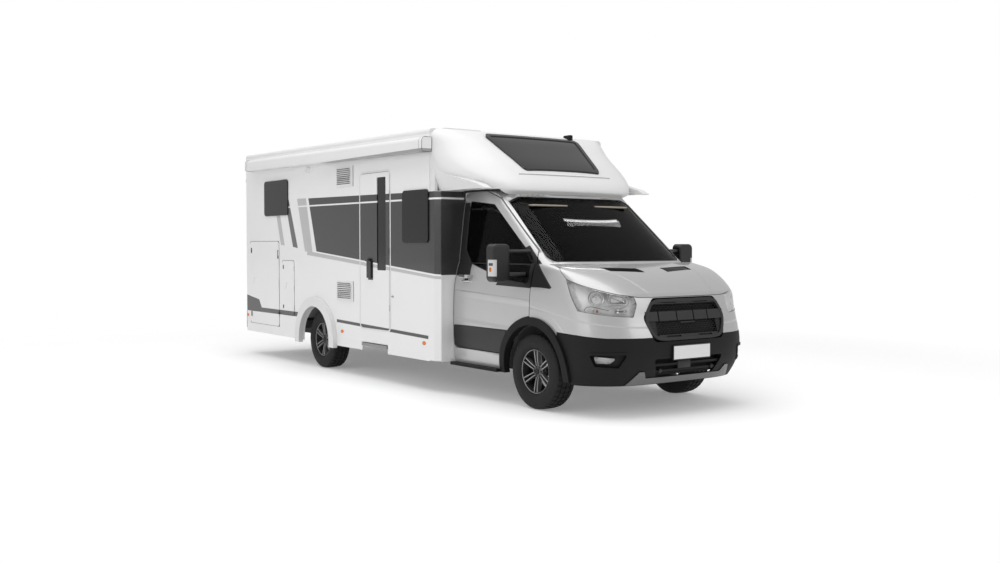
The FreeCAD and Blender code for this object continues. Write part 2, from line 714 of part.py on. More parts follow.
bonnet_rests = cab_form(bonnet_skin + seal)[0].common(both(block(
    (front_axle + firewall_reach, front_axle + cab_length * 0.24), (-half_cab * 0.73, -half_cab * 0.69),
    (cowl_height * 0.85, cowl_height))))
liner = disc("y", arch_radius + arch_wall, -half_cab + cab_skin, -wheelhouse_depth, front_hub).cut(
    disc("y", arch_radius, -far_out, 0, front_hub)).cut(
    block((cab_rear, nose_front), (-far_out, 0), (-arch_radius, axle_height)))
body = joined(outer.Solids + inner.Solids + firewall.Solids + bonnet_rests.Solids + [deck])
body = body.cut(arch_cylinder)
body = joined(body.Solids + both(liner.cut(flare)).Solids)
shaped("cab_body", body)
quarter_trims = cab_wall(quarter_zone.cut(door_holes), 0, bonnet_skin / 2)
shaped("cab_trims", Part.makeCompound(both(flare).Solids + quarter_trims.Solids))


# Cap over the cab: a moulded shell with a long raked roof window.
cap_bottom = size("cap_bottom", 2000.0)
cap_over_door = size("cap_over_door", 2054.0)
cap_top = size("cap_top", 2695.0)
cap_length = size("cap_length", 900.0)
cap_skin = size("cap_skin", 36.0)
cap_rear_set = size("cap_rear_set", 1500.0)
cap_rear = front_axle - cap_rear_set
# Height above the cap's foot, reach ahead of its rear face, half width and corner depth,
# as shares of the cap's height, its length and half the body's width.
CAP_SHARES = [
    (0.000, 0.975, 0.725, 0.22), (0.036, 1.040, 0.780, 0.28), (0.086, 1.045, 0.830, 0.33),
    (0.194, 0.985, 0.910, 0.42), (0.324, 0.860, 0.985, 0.50), (0.475, 0.720, 1.000, 0.50),
    (0.690, 0.480, 1.000, 0.42), (0.863, 0.290, 0.995, 0.25), (0.950, 0.160, 0.975, 0.14),
    (1.000, 0.060, 0.925, 0.05),
]
CAP_PLAN_SHARES = [(0, 0), (0.30, 0), (0.58, 0.05), (0.80, 0.17), (0.93, 0.42), (1, 0.80)]
ROOF_WINDOW_SHARES = [(0.820, 0.430), (0.200, 0.545)]
# The flat flanks that close the cap down to the cab doors, in side view and from the front.
FLANK_SHARES = [(0.000, 0.070), (0.000, 0.420), (0.130, 0.372), (0.860, 0.140), (0.960, 0.082),
                (0.960, 0.070)]
FLANK_FACE_SHARES = [(0.935, 0.070), (0.984, 0.300), (0.984, 0.430), (0.900, 0.430), (0.860, 0.070)]


def cap_form(inset):
    rows = []
    for up, ahead, half, depth in CAP_SHARES:
        z = cap_bottom + (cap_top - inset - cap_bottom) * up
        rows.append((z, cap_rear + cap_length * ahead - inset, half_body * half - inset,
                     half_body * depth))
    rear = cap_rear
    if inset > 0:
        rows.insert(0, (rows[0][0] - overrun, *rows[0][1:]))
        rear = cap_rear - overrun
    return moulded(rows, rear, CAP_PLAN_SHARES)


def cap_wall(zone, outer, inner):
    return cap_form(outer).common(zone).cut(cap_form(inner))


window_corners = [(cap_rear + cap_length * ahead, -half_body * side, 0)
                  for ahead, side in ROOF_WINDOW_SHARES]
window_corners += [(u, -v, r) for u, v, r in window_corners[::-1]]
window_corners = [(u, v, screen_corner) for u, v, r in window_corners]
roof_window_frame = size("roof_window_frame", 42.0)
roof_window_stand = size("roof_window_stand", 16.0)
window_zone = prism("XY", window_corners, cap_bottom, cap_top + overrun)
window_glass = prism("XY", window_corners, cap_bottom, cap_top + overrun, grow=-roof_window_frame)
cap_zone = block((cap_rear - overrun, front_tip), (-far_out, far_out), (cap_bottom - overrun, cap_top))
door_relief = block((cap_rear - overrun, cab_x(0.54)), (-far_out, far_out),
                    (cap_bottom - overrun, cap_over_door))
cap = cap_wall(cap_zone.cut(window_zone).cut(door_relief), 0, cap_skin)
roof_above = cab_form(-seal)[1]
cap = cap.cut(roof_above)
cap = max(cap.Solids, key=lambda solid: solid.Volume)
flank_side = prism("XZ", [(cap_rear + cap_length * ahead, cap_bottom + (cap_top - cap_bottom) * up, 0)
                          for ahead, up in FLANK_SHARES], -half_body, half_body)
flank_face = prism("YZ", [(-half_body * out, cap_bottom + (cap_top - cap_bottom) * up, 0)
                          for out, up in FLANK_FACE_SHARES], cap_rear, cap_rear + cap_length * 2)
flank = both(flank_face.common(flank_side).cut(door_relief))
shaped("roof_cap", joined([cap] + flank.Solids))
frame = cap_wall(window_zone.cut(window_glass), -roof_window_stand, cap_skin)
pane = cap_wall(window_glass, -roof_window_stand / 2, 0)
shaped("roof_window", joined(frame.Solids + pane.Solids))

# Living body: sandwich walls, floor with a lowered rear garage tray, and roof.
wall = size("wall", 34.0)
wall_foot = size("wall_foot", 600.0)
wall_top_front = size("wall_top_front", 2640.0)
roof_rise = size("roof_rise", 60.0)
roof_thickness = size("roof_thickness", 55.0)
rear_wall_set = size("rear_wall_set", 55.0)
tray_foot = size("tray_foot", 440.0)
tray_front_set = size("tray_front_set", 5180.0)
panel_corner = size("panel_corner", 45.0)
rear_face = -front_tip + rear_wall_set
tray_front = front_axle - tray_front_set
wall_top_rear = wall_top_front + roof_rise

# Openings in the walls: the edge nearest the front axle behind it, the width, the foot
# above the ground and the height.
entrance_set = size("entrance_set", 2305.0)
entrance_width = size("entrance_width", 655.0)
entrance_foot = size("entrance_foot", 582.0)
entrance_height = size("entrance_height", 1720.0)
garage_set = size("garage_set", 5190.0)
garage_width = size("garage_width", 950.0)
garage_foot = size("garage_foot", 442.0)
garage_height = size("garage_height", 1113.0)
hatch_set = size("hatch_set", 4728.0)
hatch_width = size("hatch_width", 357.0)
hatch_foot = size("hatch_foot", 609.0)
hatch_height = size("hatch_height", 698.0)
front_window_set = size("front_window_set", 1510.0)
front_window_width = size("front_window_width", 511.0)
front_window_foot = size("front_window_foot", 1531.0)
front_window_height = size("front_window_height", 547.0)
rear_window_set = size("rear_window_set", 4890.0)
rear_window_width = size("rear_window_width", 738.0)
rear_window_foot = size("rear_window_foot", 1893.0)
rear_window_height = size("rear_window_height", 459.0)
kitchen_window_set = size("kitchen_window_set", 2450.0)
kitchen_window_width = size("kitchen_window_width", 900.0)
vent_set = size("vent_set", 3130.0)
vent_width = size("vent_width", 400.0)
vent_height = size("vent_height", 225.0)
upper_vent_foot = size("upper_vent_foot", 2187.0)
lower_vent_foot = size("lower_vent_foot", 862.0)


def frame_of(set_back, width, foot, height, gap=0):
    """The low and high of an opening in side view, drawn in or out by a gap."""
    front = front_axle - set_back
    return (front - width - gap, front + gap), (foot - gap, foot + height + gap)


entrance = (entrance_set, entrance_width, entrance_foot, entrance_height)
garage = (garage_set, garage_width, garage_foot, garage_height)
hatch = (hatch_set, hatch_width, hatch_foot, hatch_height)
front_window = (front_window_set, front_window_width, front_window_foot, front_window_height)
rear_window = (rear_window_set, rear_window_width, rear_window_foot, rear_window_height)
kitchen_window = (kitchen_window_set, kitchen_window_width, front_window_foot, front_window_height)
upper_vent = (vent_set, vent_width, upper_vent_foot, vent_height)
lower_vent = (vent_set, vent_width, lower_vent_foot, vent_height)
arch_rear_radius = size("arch_rear_radius", 410.0)


def wall_outline(doors):
    """The wall's outline, stepping round each door that cuts its foot."""
    corners = [(cap_rear, wall_foot, 0), (cap_rear, wall_top_front, 0),
               (rear_face, wall_top_rear, 0), (rear_face, wall_foot, 0)]
    for opening in sorted(doors, key=lambda opening: -opening[0]):
        (low, high), (_, top) = frame_of(*opening, panel_gap)
        corners += [(low, wall_foot, 0), (low, top, panel_corner), (high, top, panel_corner),
                    (high, wall_foot, 0)]
    return corners


side_wells = {"right": ([entrance, garage], [hatch, front_window, rear_window]),
              "left": ([garage], [hatch, front_window, rear_window, kitchen_window])}
wall_faces = {"right": (-half_body, -half_body + wall), "left": (half_body - wall, half_body)}
skirt_thickness = size("skirt_thickness", 26.0)
skirt_faces = {"right": (-half_body, -half_body + skirt_thickness),
               "left": (half_body - skirt_thickness, half_body)}
for label, (doors, holes) in side_wells.items():
    loops = [wall_outline(doors)]
    for opening in holes:
        gap = panel_gap if opening is hatch else seal
        loops.append(rectangle(*frame_of(*opening, gap), panel_corner))
    panel = padded(f"panel_{label}", "XZ", wall_faces[label], loops)
    low, _ = wall_faces[label]
    arch = rod(f"arch_cut_{label}", "Y", arch_rear_radius, wall + overrun * 2,
               (rear_axle, low - overrun, axle_height))
    node(cut(f"wall_{label}", panel, arch), f"side_wall_{label}")

floor_wide = half_body - wall - seal
main_floor = box("main_floor", (tray_front, cap_rear), (-floor_wide, floor_wide),
                 (wall_foot, wall_foot + floor_thickness))
floor_tongue = box("floor_tongue", (cap_rear, cab_rear - seal), (-half_cab * 0.86, half_cab * 0.86),
                   (wall_foot, wall_foot + floor_thickness))
tray_floor = box("tray_floor", (rear_face + wall + seal, tray_front), (-floor_wide, floor_wide),
                 (tray_foot - floor_thickness, tray_foot))
tray_riser = box("tray_riser", (tray_front - wall, tray_front), (-floor_wide, floor_wide),
                 (tray_foot - floor_thickness, wall_foot + floor_thickness))
floor_all = fuse("floor_all", [main_floor, floor_tongue, tray_floor, tray_riser])
well_depth = size("well_depth", 330.0)
well_wall = size("well_wall", 8.0)
wells = []
liners = []
for k, sign in enumerate((-1, 1)):
    low = -half_body if sign < 0 else half_body - well_depth
    wells.append(rod(f"well_{k}", "Y", arch_rear_radius, well_depth, (rear_axle, low, axle_height)))
    low = -half_body + wall + seal if sign < 0 else half_body - well_depth - well_wall
    liners.append(rod(f"well_liner_{k}", "Y", arch_rear_radius + well_wall,
                      well_depth + well_wall - wall - seal, (rear_axle, low, axle_height)))
below_wells = box("below_wells", (rear_axle - rear_overhang / 2, rear_axle + rear_overhang / 2),
                  (-half_body, half_body), (-overrun * 2, wall_foot))
well_liners = cut("well_liners", fuse("well_liners_full", liners), below_wells)
node(cut("floor_cut", fuse("floor_with_wells", [floor_all, well_liners]), fuse("wells", wells)),
     "floor_panel")

rear_plate = padded("rear_plate", "YZ", (rear_face, rear_face + wall),
                    [rectangle((-half_body + wall + seal, half_body - wall - seal),
                               (tray_foot - floor_thickness, wall_top_rear - seal))])
node(rear_plate, "rear_wall")

roof = padded("roof", "XZ", (-half_body, half_body), [[
    (cap_rear, wall_top_front + seal, 0), (cap_rear, wall_top_front + roof_thickness, 0),
    (rear_face, wall_top_rear + roof_thickness, 0), (rear_face, wall_top_rear + seal, 0)]])
doc.recompute()
roof_round = size("roof_round", 40.0)
long_edges = [f"Edge{k + 1}" for k, e in enumerate(roof.Shape.Edges)
              if e.Length > half_body * 2 + overrun and e.CenterOfMass.z > wall_top_rear]
roof_pad = roof.Tip
rounding = roof.newObject("PartDesign::Fillet", "roof_rounding")
rounding.Base = (roof_pad, long_edges)
bind(rounding, "Radius", roof_round)
node(roof, "roof_panel")

# Moulded corners between the cab and the side walls, from the skirt to the cap.
corner_foot = size("corner_foot", 330.0)
corner_set = cab_rear - seal * 10
CORNER_PLAN_SHARES = [(0.00, 0.985), (0.00, 0.865), (0.22, 0.905), (0.55, 0.948), (1.00, 0.965),
                      (1.00, 1.000), (0.55, 0.998), (0.25, 0.965)]
corner_corners = [(corner_set - (corner_set - cap_rear - seal) * back, -half_body * out * (
    half_cab / half_body if out < 0.9 and back == 0 else 1), 0) for back, out in CORNER_PLAN_SHARES]
corner_panel = prism("XY", corner_corners, corner_foot, cap_over_door - seal)
shaped("corner_panels", both(corner_panel))

# Skirts below the walls, open at the doors, the wheels and the entrance step.
step_width = size("step_width", 560.0)
step_depth = size("step_depth", 300.0)
step_foot = size("step_foot", 372.0)
step_height = size("step_height", 36.0)
step_out = size("step_out", 14.0)
step_set = size("step_set", 2362.0)
step_x = front_axle - step_set
skirt_foot = size("skirt_foot", 320.0)
step_notch = box("step_notch", (step_x - step_width - running_gap, step_x + running_gap),
                 (-half_body - overrun, -half_body + overrun),
                 (skirt_foot - overrun, step_foot + step_height + running_gap))


def skirt_outline(doors):
    """The skirt's outline, lowered under each door that reaches below the wall's foot."""
    top = wall_foot - seal
    corners = [(rear_face, skirt_foot, 0), (cap_rear, skirt_foot, 0), (cap_rear, top, 0)]
    for opening in doors:
        (low, high), (door_foot, _) = frame_of(*opening, panel_gap)
        corners += [(high, top, 0), (high, door_foot, 0), (low, door_foot, 0), (low, top, 0)]
    return corners + [(rear_face, top, 0)]


skirts = []
for label, faces in skirt_faces.items():
    doors, _ = side_wells[label]
    skirt = padded(f"skirt_{label}", "XZ", faces, [skirt_outline(doors)])
    arch = rod(f"skirt_arch_{label}", "Y", arch_rear_radius, overrun * 3,
               (rear_axle, faces[0] - overrun, axle_height))
    tool = fuse(f"skirt_tools_{label}", [arch, step_notch]) if label == "right" else arch
    skirts.append(cut(f"skirt_cut_{label}", skirt, tool))
node(bundle("skirts_all", skirts), "side_skirts")

# Arch spats round the rear wheels.
spat_width = size("spat_width", 120.0)
spat_stand = size("spat_stand", 55.0)
spat_foot = size("spat_foot", 292.0)
spats = []
for k, low in enumerate((-half_body - spat_stand, half_body + seal)):
    start = (rear_axle, low, axle_height)
    ring_outer = rod(f"spat_outer_{k}", "Y", arch_rear_radius + spat_width, spat_stand - seal, start)
    ring_inner = rod(f"spat_inner_{k}", "Y", arch_rear_radius, spat_stand, start)
    foot_cut = box(f"spat_foot_{k}", (rear_axle - rear_overhang / 2, rear_axle + rear_overhang / 2),
                   (low - seal, low + spat_stand + seal), (-overrun * 4, spat_foot))
    hollow = cut(f"spat_hollow_{k}", ring_outer, ring_inner)
    spats.append(cut(f"spat_{k}", hollow, foot_cut))
node(bundle("spats", spats), "arch_spats")

# Doors and flaps in the walls, each as thick as its wall, with their handles.
door_stand = size("door_stand", 4.0)
latch_width = size("latch_width", 124.0)
latch_height = size("latch_height", 190.0)
latch_stand = size("latch_stand", 26.0)
latch_set = size("latch_set", 2688.0)
latch_foot = size("latch_foot", 1142.0)
strip_set = size("strip_set", 2384.0)
strip_width = size("strip_width", 194.0)
strip_foot = size("strip_foot", 1230.0)
strip_height = size("strip_height", 1020.0)
flap_latch = size("flap_latch", 70.0)
hinge_length = size("hinge_length", 60.0)
hinge_radius = size("hinge_radius", 6.0)


def side_leaf(name, label, opening, holes=()):
    """A leaf that fills an opening of a side wall, flush with its inner face."""
    low, high = wall_faces[label]
    depth = (low - door_stand, high) if label == "right" else (low, high + door_stand)
    loops = [rectangle(*frame_of(*opening), panel_corner)]
    loops += [rectangle(*frame_of(*hole), panel_corner / 3) for hole in holes]
    return padded(name, "XZ", depth, loops)


def side_block(name, label, opening, stand, depth):
    """A block on a leaf of one side, standing out and reaching in."""
    outside = half_body + stand
    faces = (-outside, -half_body + depth) if label == "right" else (half_body - depth, outside)
    (x0, x1), z = frame_of(*opening)
    return box(name, (x0, x1), faces, z)


# Each leaf turns on barrels along its front edge, just outside the wall.
HINGE_SHARES = (0.14, 0.50, 0.86)


def side_hinges(name, label, opening):
    """Barrels on the hinge line of a leaf, each with its strap on the leaf's face."""
    (_, front), (low, high) = frame_of(*opening)
    side = -1 if label == "right" else 1
    face, line = half_body + door_stand, half_body + door_stand + hinge_radius
    pieces = []
    for k, share in enumerate(HINGE_SHARES):
        foot = low + (high - low) * share - hinge_length / 2
        pieces.append(rod(f"{name}_barrel_{k}", "Z", hinge_radius, hinge_length,
                          (front, side * line, foot)))
        pieces.append(box(f"{name}_strap_{k}", (front - hinge_length, front),
                          sorted((side * face, side * line)), (foot, foot + hinge_length)))
    return pieces


strip = (strip_set, strip_width, strip_foot, strip_height)
latch = (latch_set, latch_width, latch_foot, latch_height)
entrance_leaf = side_leaf("entrance_leaf", "right", entrance, [strip])
entrance_latch = side_block("entrance_latch", "right", latch, latch_stand, 0)
node(fuse("entrance", [entrance_leaf, entrance_latch] + side_hinges("entrance", "right", entrance)),
     "entrance_door")
door_strip = padded("door_strip", "XZ", (-half_body + door_stand, -half_body + wall / 2),
                    [rectangle(*frame_of(*strip, -seal), panel_corner / 3)])
node(door_strip, "entrance_door_glass")
for label in ("right", "left"):
    for name, opening in (("garage_door", garage), ("service_hatch", hatch)):
        leaf = side_leaf(f"{name}_leaf_{label}", label, opening)
        set_back, width, foot, height = opening
        spot = (set_back + width - flap_latch * 2, flap_latch, foot + height / 2, flap_latch)
        grip = side_block(f"{name}_grip_{label}", label, spot, door_stand * 3, 0)
        node(fuse(f"{name}_{label}_all", [leaf, grip] + side_hinges(f"{name}_{label}", label, opening)),
             f"{name}_{label}")

# Windows: acrylic panes that stand a little proud of the wall.
pane_stand = size("pane_stand", 14.0)
panes = []
for label, (doors, holes) in side_wells.items():
    low, high = wall_faces[label]
    depth = (low - pane_stand, high) if label == "right" else (low, high + pane_stand)
    for k, opening in enumerate(hole for hole in holes if hole is not hatch):
        panes.append(padded(f"pane_{label}_{k}", "XZ", depth,
                            [rectangle(*frame_of(*opening), panel_corner)]))
node(bundle("panes", panes), "side_windows")

# Louvred vents for the refrigerator, on the right wall.
louvre_count = 9
louvre_stand = size("louvre_stand", 12.0)
vents = []
for k, opening in enumerate((upper_vent, lower_vent)):
    plate = side_block(f"vent_{k}", "right", opening, louvre_stand, -seal)
    (x0, x1), (z0, z1) = frame_of(*opening)
    pitch = (z1 - z0) / louvre_count
    slots = [box(f"vent_slot_{k}_{n}", (x0 + pitch, x1 - pitch),
                 (-half_body - louvre_stand - overrun, -half_body - louvre_stand / 3),
                 (z0 + pitch * n + pitch / 4, z0 + pitch * n + pitch * 3 / 4))
             for n in range(1, louvre_count - 1)]
    vents.append(cut(f"vent_cut_{k}", plate, fuse(f"vent_slots_{k}", slots)))
node(bundle("vents", vents), "fridge_vents")

# Side marker lamps and the rear clearance lamps.
marker_length = size("marker_length", 90.0)
marker_height = size("marker_height", 36.0)
marker_stand = size("marker_stand", 12.0)
marker_foot = size("marker_foot", 480.0)
markers = []
for k, set_back in enumerate((size("marker_front_set", 1560.0), size("marker_mid_set", 3374.0))):
    for label in ("right", "left"):
        markers.append(side_block(f"marker_{label}_{k}", label,
                                  (set_back, marker_length, marker_foot, marker_height),
                                  marker_stand, -seal))

# Awning case along the top of the right wall, rising with it.
awning_width = size("awning_width", 118.0)
awning_height = size("awning_height", 148.0)
awning_front_set = size("awning_front_set", 1455.0)
awning_length = size("awning_length", 4560.0)
awning_foot = size("awning_foot", 2452.0)
awning_round = size("awning_round", 45.0)


def awning_section(share):
    """The case's outline at a share of its length from the front."""
    x = front_axle - awning_front_set - awning_length * share
    z = awning_foot + roof_rise * share
    outer_y = -half_body - awning_width
    corners = [(-half_body - seal, z, 0), (-half_body - seal, z + awning_height, 0),
               (outer_y, z + awning_height, awning_round), (outer_y, z, awning_round / 2)]
    edges = outline_edges(corners, lambda u, v: Vector(x, u, v))
    return Part.Wire([e.toShape() for e in edges])


shaped("awning_case", Part.makeLoft([awning_section(0), awning_section(1)], True, True))

# Roof lights over the living room and the bed.
hood_height = size("hood_height", 150.0)
hood_sizes = [(2600.0, 700.0, 500.0), (4000.0, 400.0, 400.0), (5350.0, 700.0, 500.0)]
hoods = []
for k, (set_back, length, width) in enumerate(hood_sizes):
    x = front_axle - size(f"hood_{k}_set", set_back)
    long_way = size(f"hood_{k}_length", length)
    across = size(f"hood_{k}_width", width)
    top = wall_top_front + roof_thickness + roof_rise * ((cap_rear - x) / (cap_rear - rear_face))
    hoods.append(box(f"hood_{k}", (x - long_way, x), (-across / 2, across / 2),
                     (top + roof_rise * (long_way / (cap_rear - rear_face)) + seal,
                      top + hood_height)))
node(bundle("hoods", hoods), "roof_hatches")

# Rear bumper and lamps.
bumper_foot = size("bumper_foot", 360.0)
bumper_height = size("bumper_height", 235.0)
bumper_round = size("bumper_round", 50.0)
rear_bumper = padded("tail", "XY", (bumper_foot, bumper_foot + bumper_height), [[
    (rear_face - seal, -half_body + seal, 0), (-front_tip, -half_body + seal, bumper_round),
    (-front_tip, half_body - seal, bumper_round), (rear_face - seal, half_body - seal, 0)]])
node(rear_bumper, "rear_bumper")
lamp_width = size("lamp_width", 130.0)
lamp_height = size("lamp_height", 420.0)
lamp_foot = size("lamp_foot", 640.0)
lamp_stand = size("lamp_stand", 42.0)
rear_lamps = []
for k, y in enumerate((-half_body + lamp_width / 4, half_body - lamp_width * 5 / 4)):
    rear_lamps.append(padded(f"rear_lamp_{k}", "YZ", (rear_face - lamp_stand, rear_face - seal),
                             [rectangle((y, y + lamp_width), (lamp_foot, lamp_foot + lamp_height),
                                        lamp_width / 4)]))
node(bundle("lamps_all", rear_lamps + markers), "tail_and_marker_lamps")

# Chassis: two channel rails with cross members, a bolt plate for a tow bar at the tail.
rail_height = size("rail_height", 120.0)
rail_width = size("rail_width", 60.0)
rail_wall = size("rail_wall", 5.0)
rail_spread = size("rail_spread", 900.0)
rail_foot = size("rail_foot", 440.0)
rail_front_set = size("rail_front_set", 760.0)
rails = []
rail_drop = rail_foot + rail_height - (tray_foot - floor_thickness)
for side, sign in (("right", -1), ("left", 1)):
    web = sign * rail_spread / 2
    inner = web - sign * rail_width
    channel = [(web, rail_foot, 0), (web, rail_foot + rail_height, 0),
               (inner, rail_foot + rail_height, 0), (inner, rail_foot + rail_height - rail_wall, 0),
               (web - sign * rail_wall, rail_foot + rail_height - rail_wall, 0),
               (web - sign * rail_wall, rail_foot + rail_wall, 0), (inner, rail_foot + rail_wall, 0),
               (inner, rail_foot, 0)]
    rails.append(padded(f"rail_{side}", "YZ", (tray_front + wall, front_axle + rail_front_set),
                        [channel]))
    tail_channel = [(u, v - rail_drop, 0) for u, v, r in channel]
    rails.append(padded(f"tail_rail_{side}", "YZ", (rear_face + wall + overrun, tray_front + wall * 4),
                        [tail_channel]))
cross_depth = size("cross_depth", 70.0)
half_spread = rail_spread / 2 - rail_wall
for k, x in enumerate((front_axle + rail_front_set - cross_depth, front_axle - cab_length,
                       rear_axle + cab_length, tray_front + wall + cross_depth)):
    rails.append(box(f"cross_{k}", (x, x + cross_depth), (-half_spread, half_spread),
                     (rail_foot + rail_wall, rail_foot + rail_height - rail_wall)))
drop_low = rail_foot - rail_drop
for sign in (-1, 1):
    edge = sorted((sign * rail_spread / 2, sign * (rail_spread / 2 - rail_width)), key=float)
    rails.append(box(f"drop_{'right' if sign < 0 else 'left'}",
                     (tray_front + wall, tray_front + wall + cross_depth), edge,
                     (drop_low, rail_foot + rail_height)))
for k, share in enumerate((0.04, 0.30, 0.50, 0.80, 0.96)):
    x = cap_rear - (cap_rear - tray_front) * share
    rails.append(box(f"bearer_{k}", (x - cross_depth, x), (-floor_wide, floor_wide),
                     (rail_foot + rail_height, wall_foot - seal)))
tow_bolt = size("tow_bolt", 13.0)
tow_plate = size("tow_plate", 12.0)
tow_x = rear_face + wall + overrun
plate = box("tow_plate_box", (tow_x, tow_x + tow_plate), (-half_spread - rail_wall, half_spread + rail_wall),
            (drop_low, drop_low + rail_height))
rails.append(plate)
frame_all = fuse("frame_all", rails)
tow_spread = size("tow_spread", 700.0)
tow_pitch = size("tow_pitch", 60.0)
bolts = [rod(f"tow_hole_{k}_{n}", "X", tow_bolt / 2, tow_plate + overrun,
             (tow_x - overrun / 2, sign * tow_spread / 2, drop_low + rail_height / 2 + up * tow_pitch / 2))
         for k, sign in enumerate((-1, 1)) for n, up in enumerate((-1, 1))]
node(cut("frame_cut", frame_all, fuse("tow_holes", bolts)), "chassis_frame")

# Front axle: a cross beam under the rails with a tapering arm out to each ball joint.
ball_reach = size("ball_reach", 800.0)
ball_height = size("ball_height", 215.0)
ball_radius = size("ball_radius", 16.0)
arm_thickness = size("arm_thickness", 26.0)
beam_depth = size("beam_depth", 200.0)
beam_half = rail_spread / 2
arm_top = ball_height + arm_thickness / 2
beam = box("front_beam", (front_axle - beam_depth / 2, front_axle + beam_depth / 2),
           (-beam_half, beam_half), (arm_top - arm_thickness, arm_top + overrun))
hangers = [box(f"front_hanger_{k}", (front_axle - beam_depth / 2, front_axle + beam_depth / 2),
               (y, y + rail_width), (arm_top, rail_foot))
           for k, y in enumerate((-beam_half, beam_half - rail_width))]
arm_pieces = []
for sign in (-1, 1):
    side = "right" if sign < 0 else "left"
    arm_pieces.append(padded(f"lower_arm_{side}", "XY", (arm_top - arm_thickness, arm_top), [[
        (front_axle - beam_depth / 2, sign * (beam_half - rail_width), 0),
        (front_axle + beam_depth / 2, sign * (beam_half - rail_width), 0),
        (front_axle + ball_radius * 1.5, sign * (ball_reach + ball_radius), 0),
        (front_axle - ball_radius * 1.5, sign * (ball_reach + ball_radius), 0)]]))
rack = rod("steering_rack", "Y", ball_radius * 1.6, rail_spread * 1.1,
           (front_axle - beam_depth / 2 - ball_radius, -rail_spread * 0.55, arm_top + overrun))
node(fuse("front_axle_all", [beam, rack] + hangers + arm_pieces), "front_axle")

# Knuckles: a post on the lower ball joint with the wheel's spindle and the spring leg.
spindle_radius = size("spindle_radius", 28.0)
post_width = size("post_width", 90.0)
post_depth = size("post_depth", 56.0)
leg_radius = size("leg_radius", 30.0)
leg_top = size("leg_top", 764.0)
leg_lean = size("leg_lean", 128.0)
hub_face = size("hub_face", 55.0)
knuckle_clear = size("knuckle_clear", 17.0)
post_out = ball_reach - ball_radius - spindle_radius / 2
pivot = Vector(front_axle, -ball_reach, ball_height)
leg_end = Vector(front_axle, -ball_reach + leg_lean, leg_top)
front_mount = front_track / 2 + hub_face
knuckle_foot = arm_top + knuckle_clear
post = block((front_axle - post_width / 2, front_axle + post_width / 2),
             (-post_out, -post_out + post_depth), (knuckle_foot, axle_height + post_width * 1.6))
foot_pad = block((front_axle - ball_radius * 2, front_axle + ball_radius * 2),
                 (-ball_reach - ball_radius, -post_out + seal), (knuckle_foot, knuckle_foot + arm_thickness))
spindle = disc("y", spindle_radius, -front_mount - rim_width / 8, -post_out, front_hub)
boss = disc("y", spindle_radius * 1.8, -front_mount + rail_wall, -post_out, front_hub)
lean = (leg_end - pivot).normalize()
leg_start = pivot + lean * ((axle_height - ball_height) / lean.z)
leg = Part.makeCylinder(leg_radius, (leg_end - leg_start).Length, leg_start, lean)
pin_start = pivot + lean * ((arm_thickness / 2 + seal + ball_radius * math.hypot(lean.x, lean.y)) / lean.z)
pin = Part.makeCylinder(ball_radius, knuckle_clear + arm_thickness / 2, pin_start, lean)
knuckle = joined([post, foot_pad, spindle, boss, leg, pin])
shaped("knuckle_right", knuckle)
shaped("knuckle_left", mirrored(knuckle))

# Rear axle: a tube with a spindle at each end, hung from the rails by two leaf arms.
tube_radius = size("tube_radius", 45.0)
rear_mount = rear_track / 2 + hub_face
tube_half = rear_track / 2 - tyre_width * 0.4
rear_spindles = rod("rear_spindle", "Y", spindle_radius, (rear_mount + rim_width / 8) * 2,
                    (rear_axle, -rear_mount - rim_width / 8, axle_height))
rear_boss = rod("rear_boss", "Y", spindle_radius * 1.8, (rear_mount - rail_wall) * 2,
                (rear_axle, -rear_mount + rail_wall, axle_height))
tube = rod("rear_tube", "Y", tube_radius, tube_half * 2, (rear_axle, -tube_half, axle_height))
trailing = [box(f"trailing_arm_{k}", (rear_axle - tube_radius, rear_axle + cab_length / 2),
                (y, y + rail_width), (axle_height - tube_radius / 2, axle_height + tube_radius / 2))
            for k, y in enumerate((-beam_half, beam_half - rail_width))]
trailing += [box(f"trailing_hanger_{k}", (rear_axle + cab_length / 2 - overrun, rear_axle + cab_length / 2),
                 (y, y + rail_width), (axle_height - tube_radius / 2, rail_foot))
             for k, y in enumerate((-beam_half, beam_half - rail_width))]
node(fuse("rear_axle_all", [tube, rear_boss, rear_spindles] + trailing), "rear_axle")

# Wheels: a tyre and an alloy rim with six pairs of spokes, all four alike.
rim_wall = size("rim_wall", 8.0)
hub_radius = size("hub_radius", 58.0)
spoke_disc = size("spoke_disc", 24.0)
spoke_rim = size("spoke_rim", 12.0)
lip = rim_width / 2
bulge = tyre_width / 2


def make_tyre(name):
    """Bead, bulging sidewall, rounded shoulder and a gently crowned tread."""
    wall_height = tyre_radius - bead_radius
    half = [(lip, bead_radius, 0), (bulge * 0.97, bead_radius + wall_height * 0.25, 0),
            (bulge, bead_radius + wall_height * 0.5, 0),
            (bulge * 0.975, bead_radius + wall_height * 0.78, 0),
            (bulge * 0.88, tyre_radius - wall_height * 0.035, 0), (bulge * 0.5, tyre_radius, 0)]
    other = [(-u, v, radius) for u, v, radius in half[::-1]]
    return turned(name, "YZ", half + other, "H_Axis")


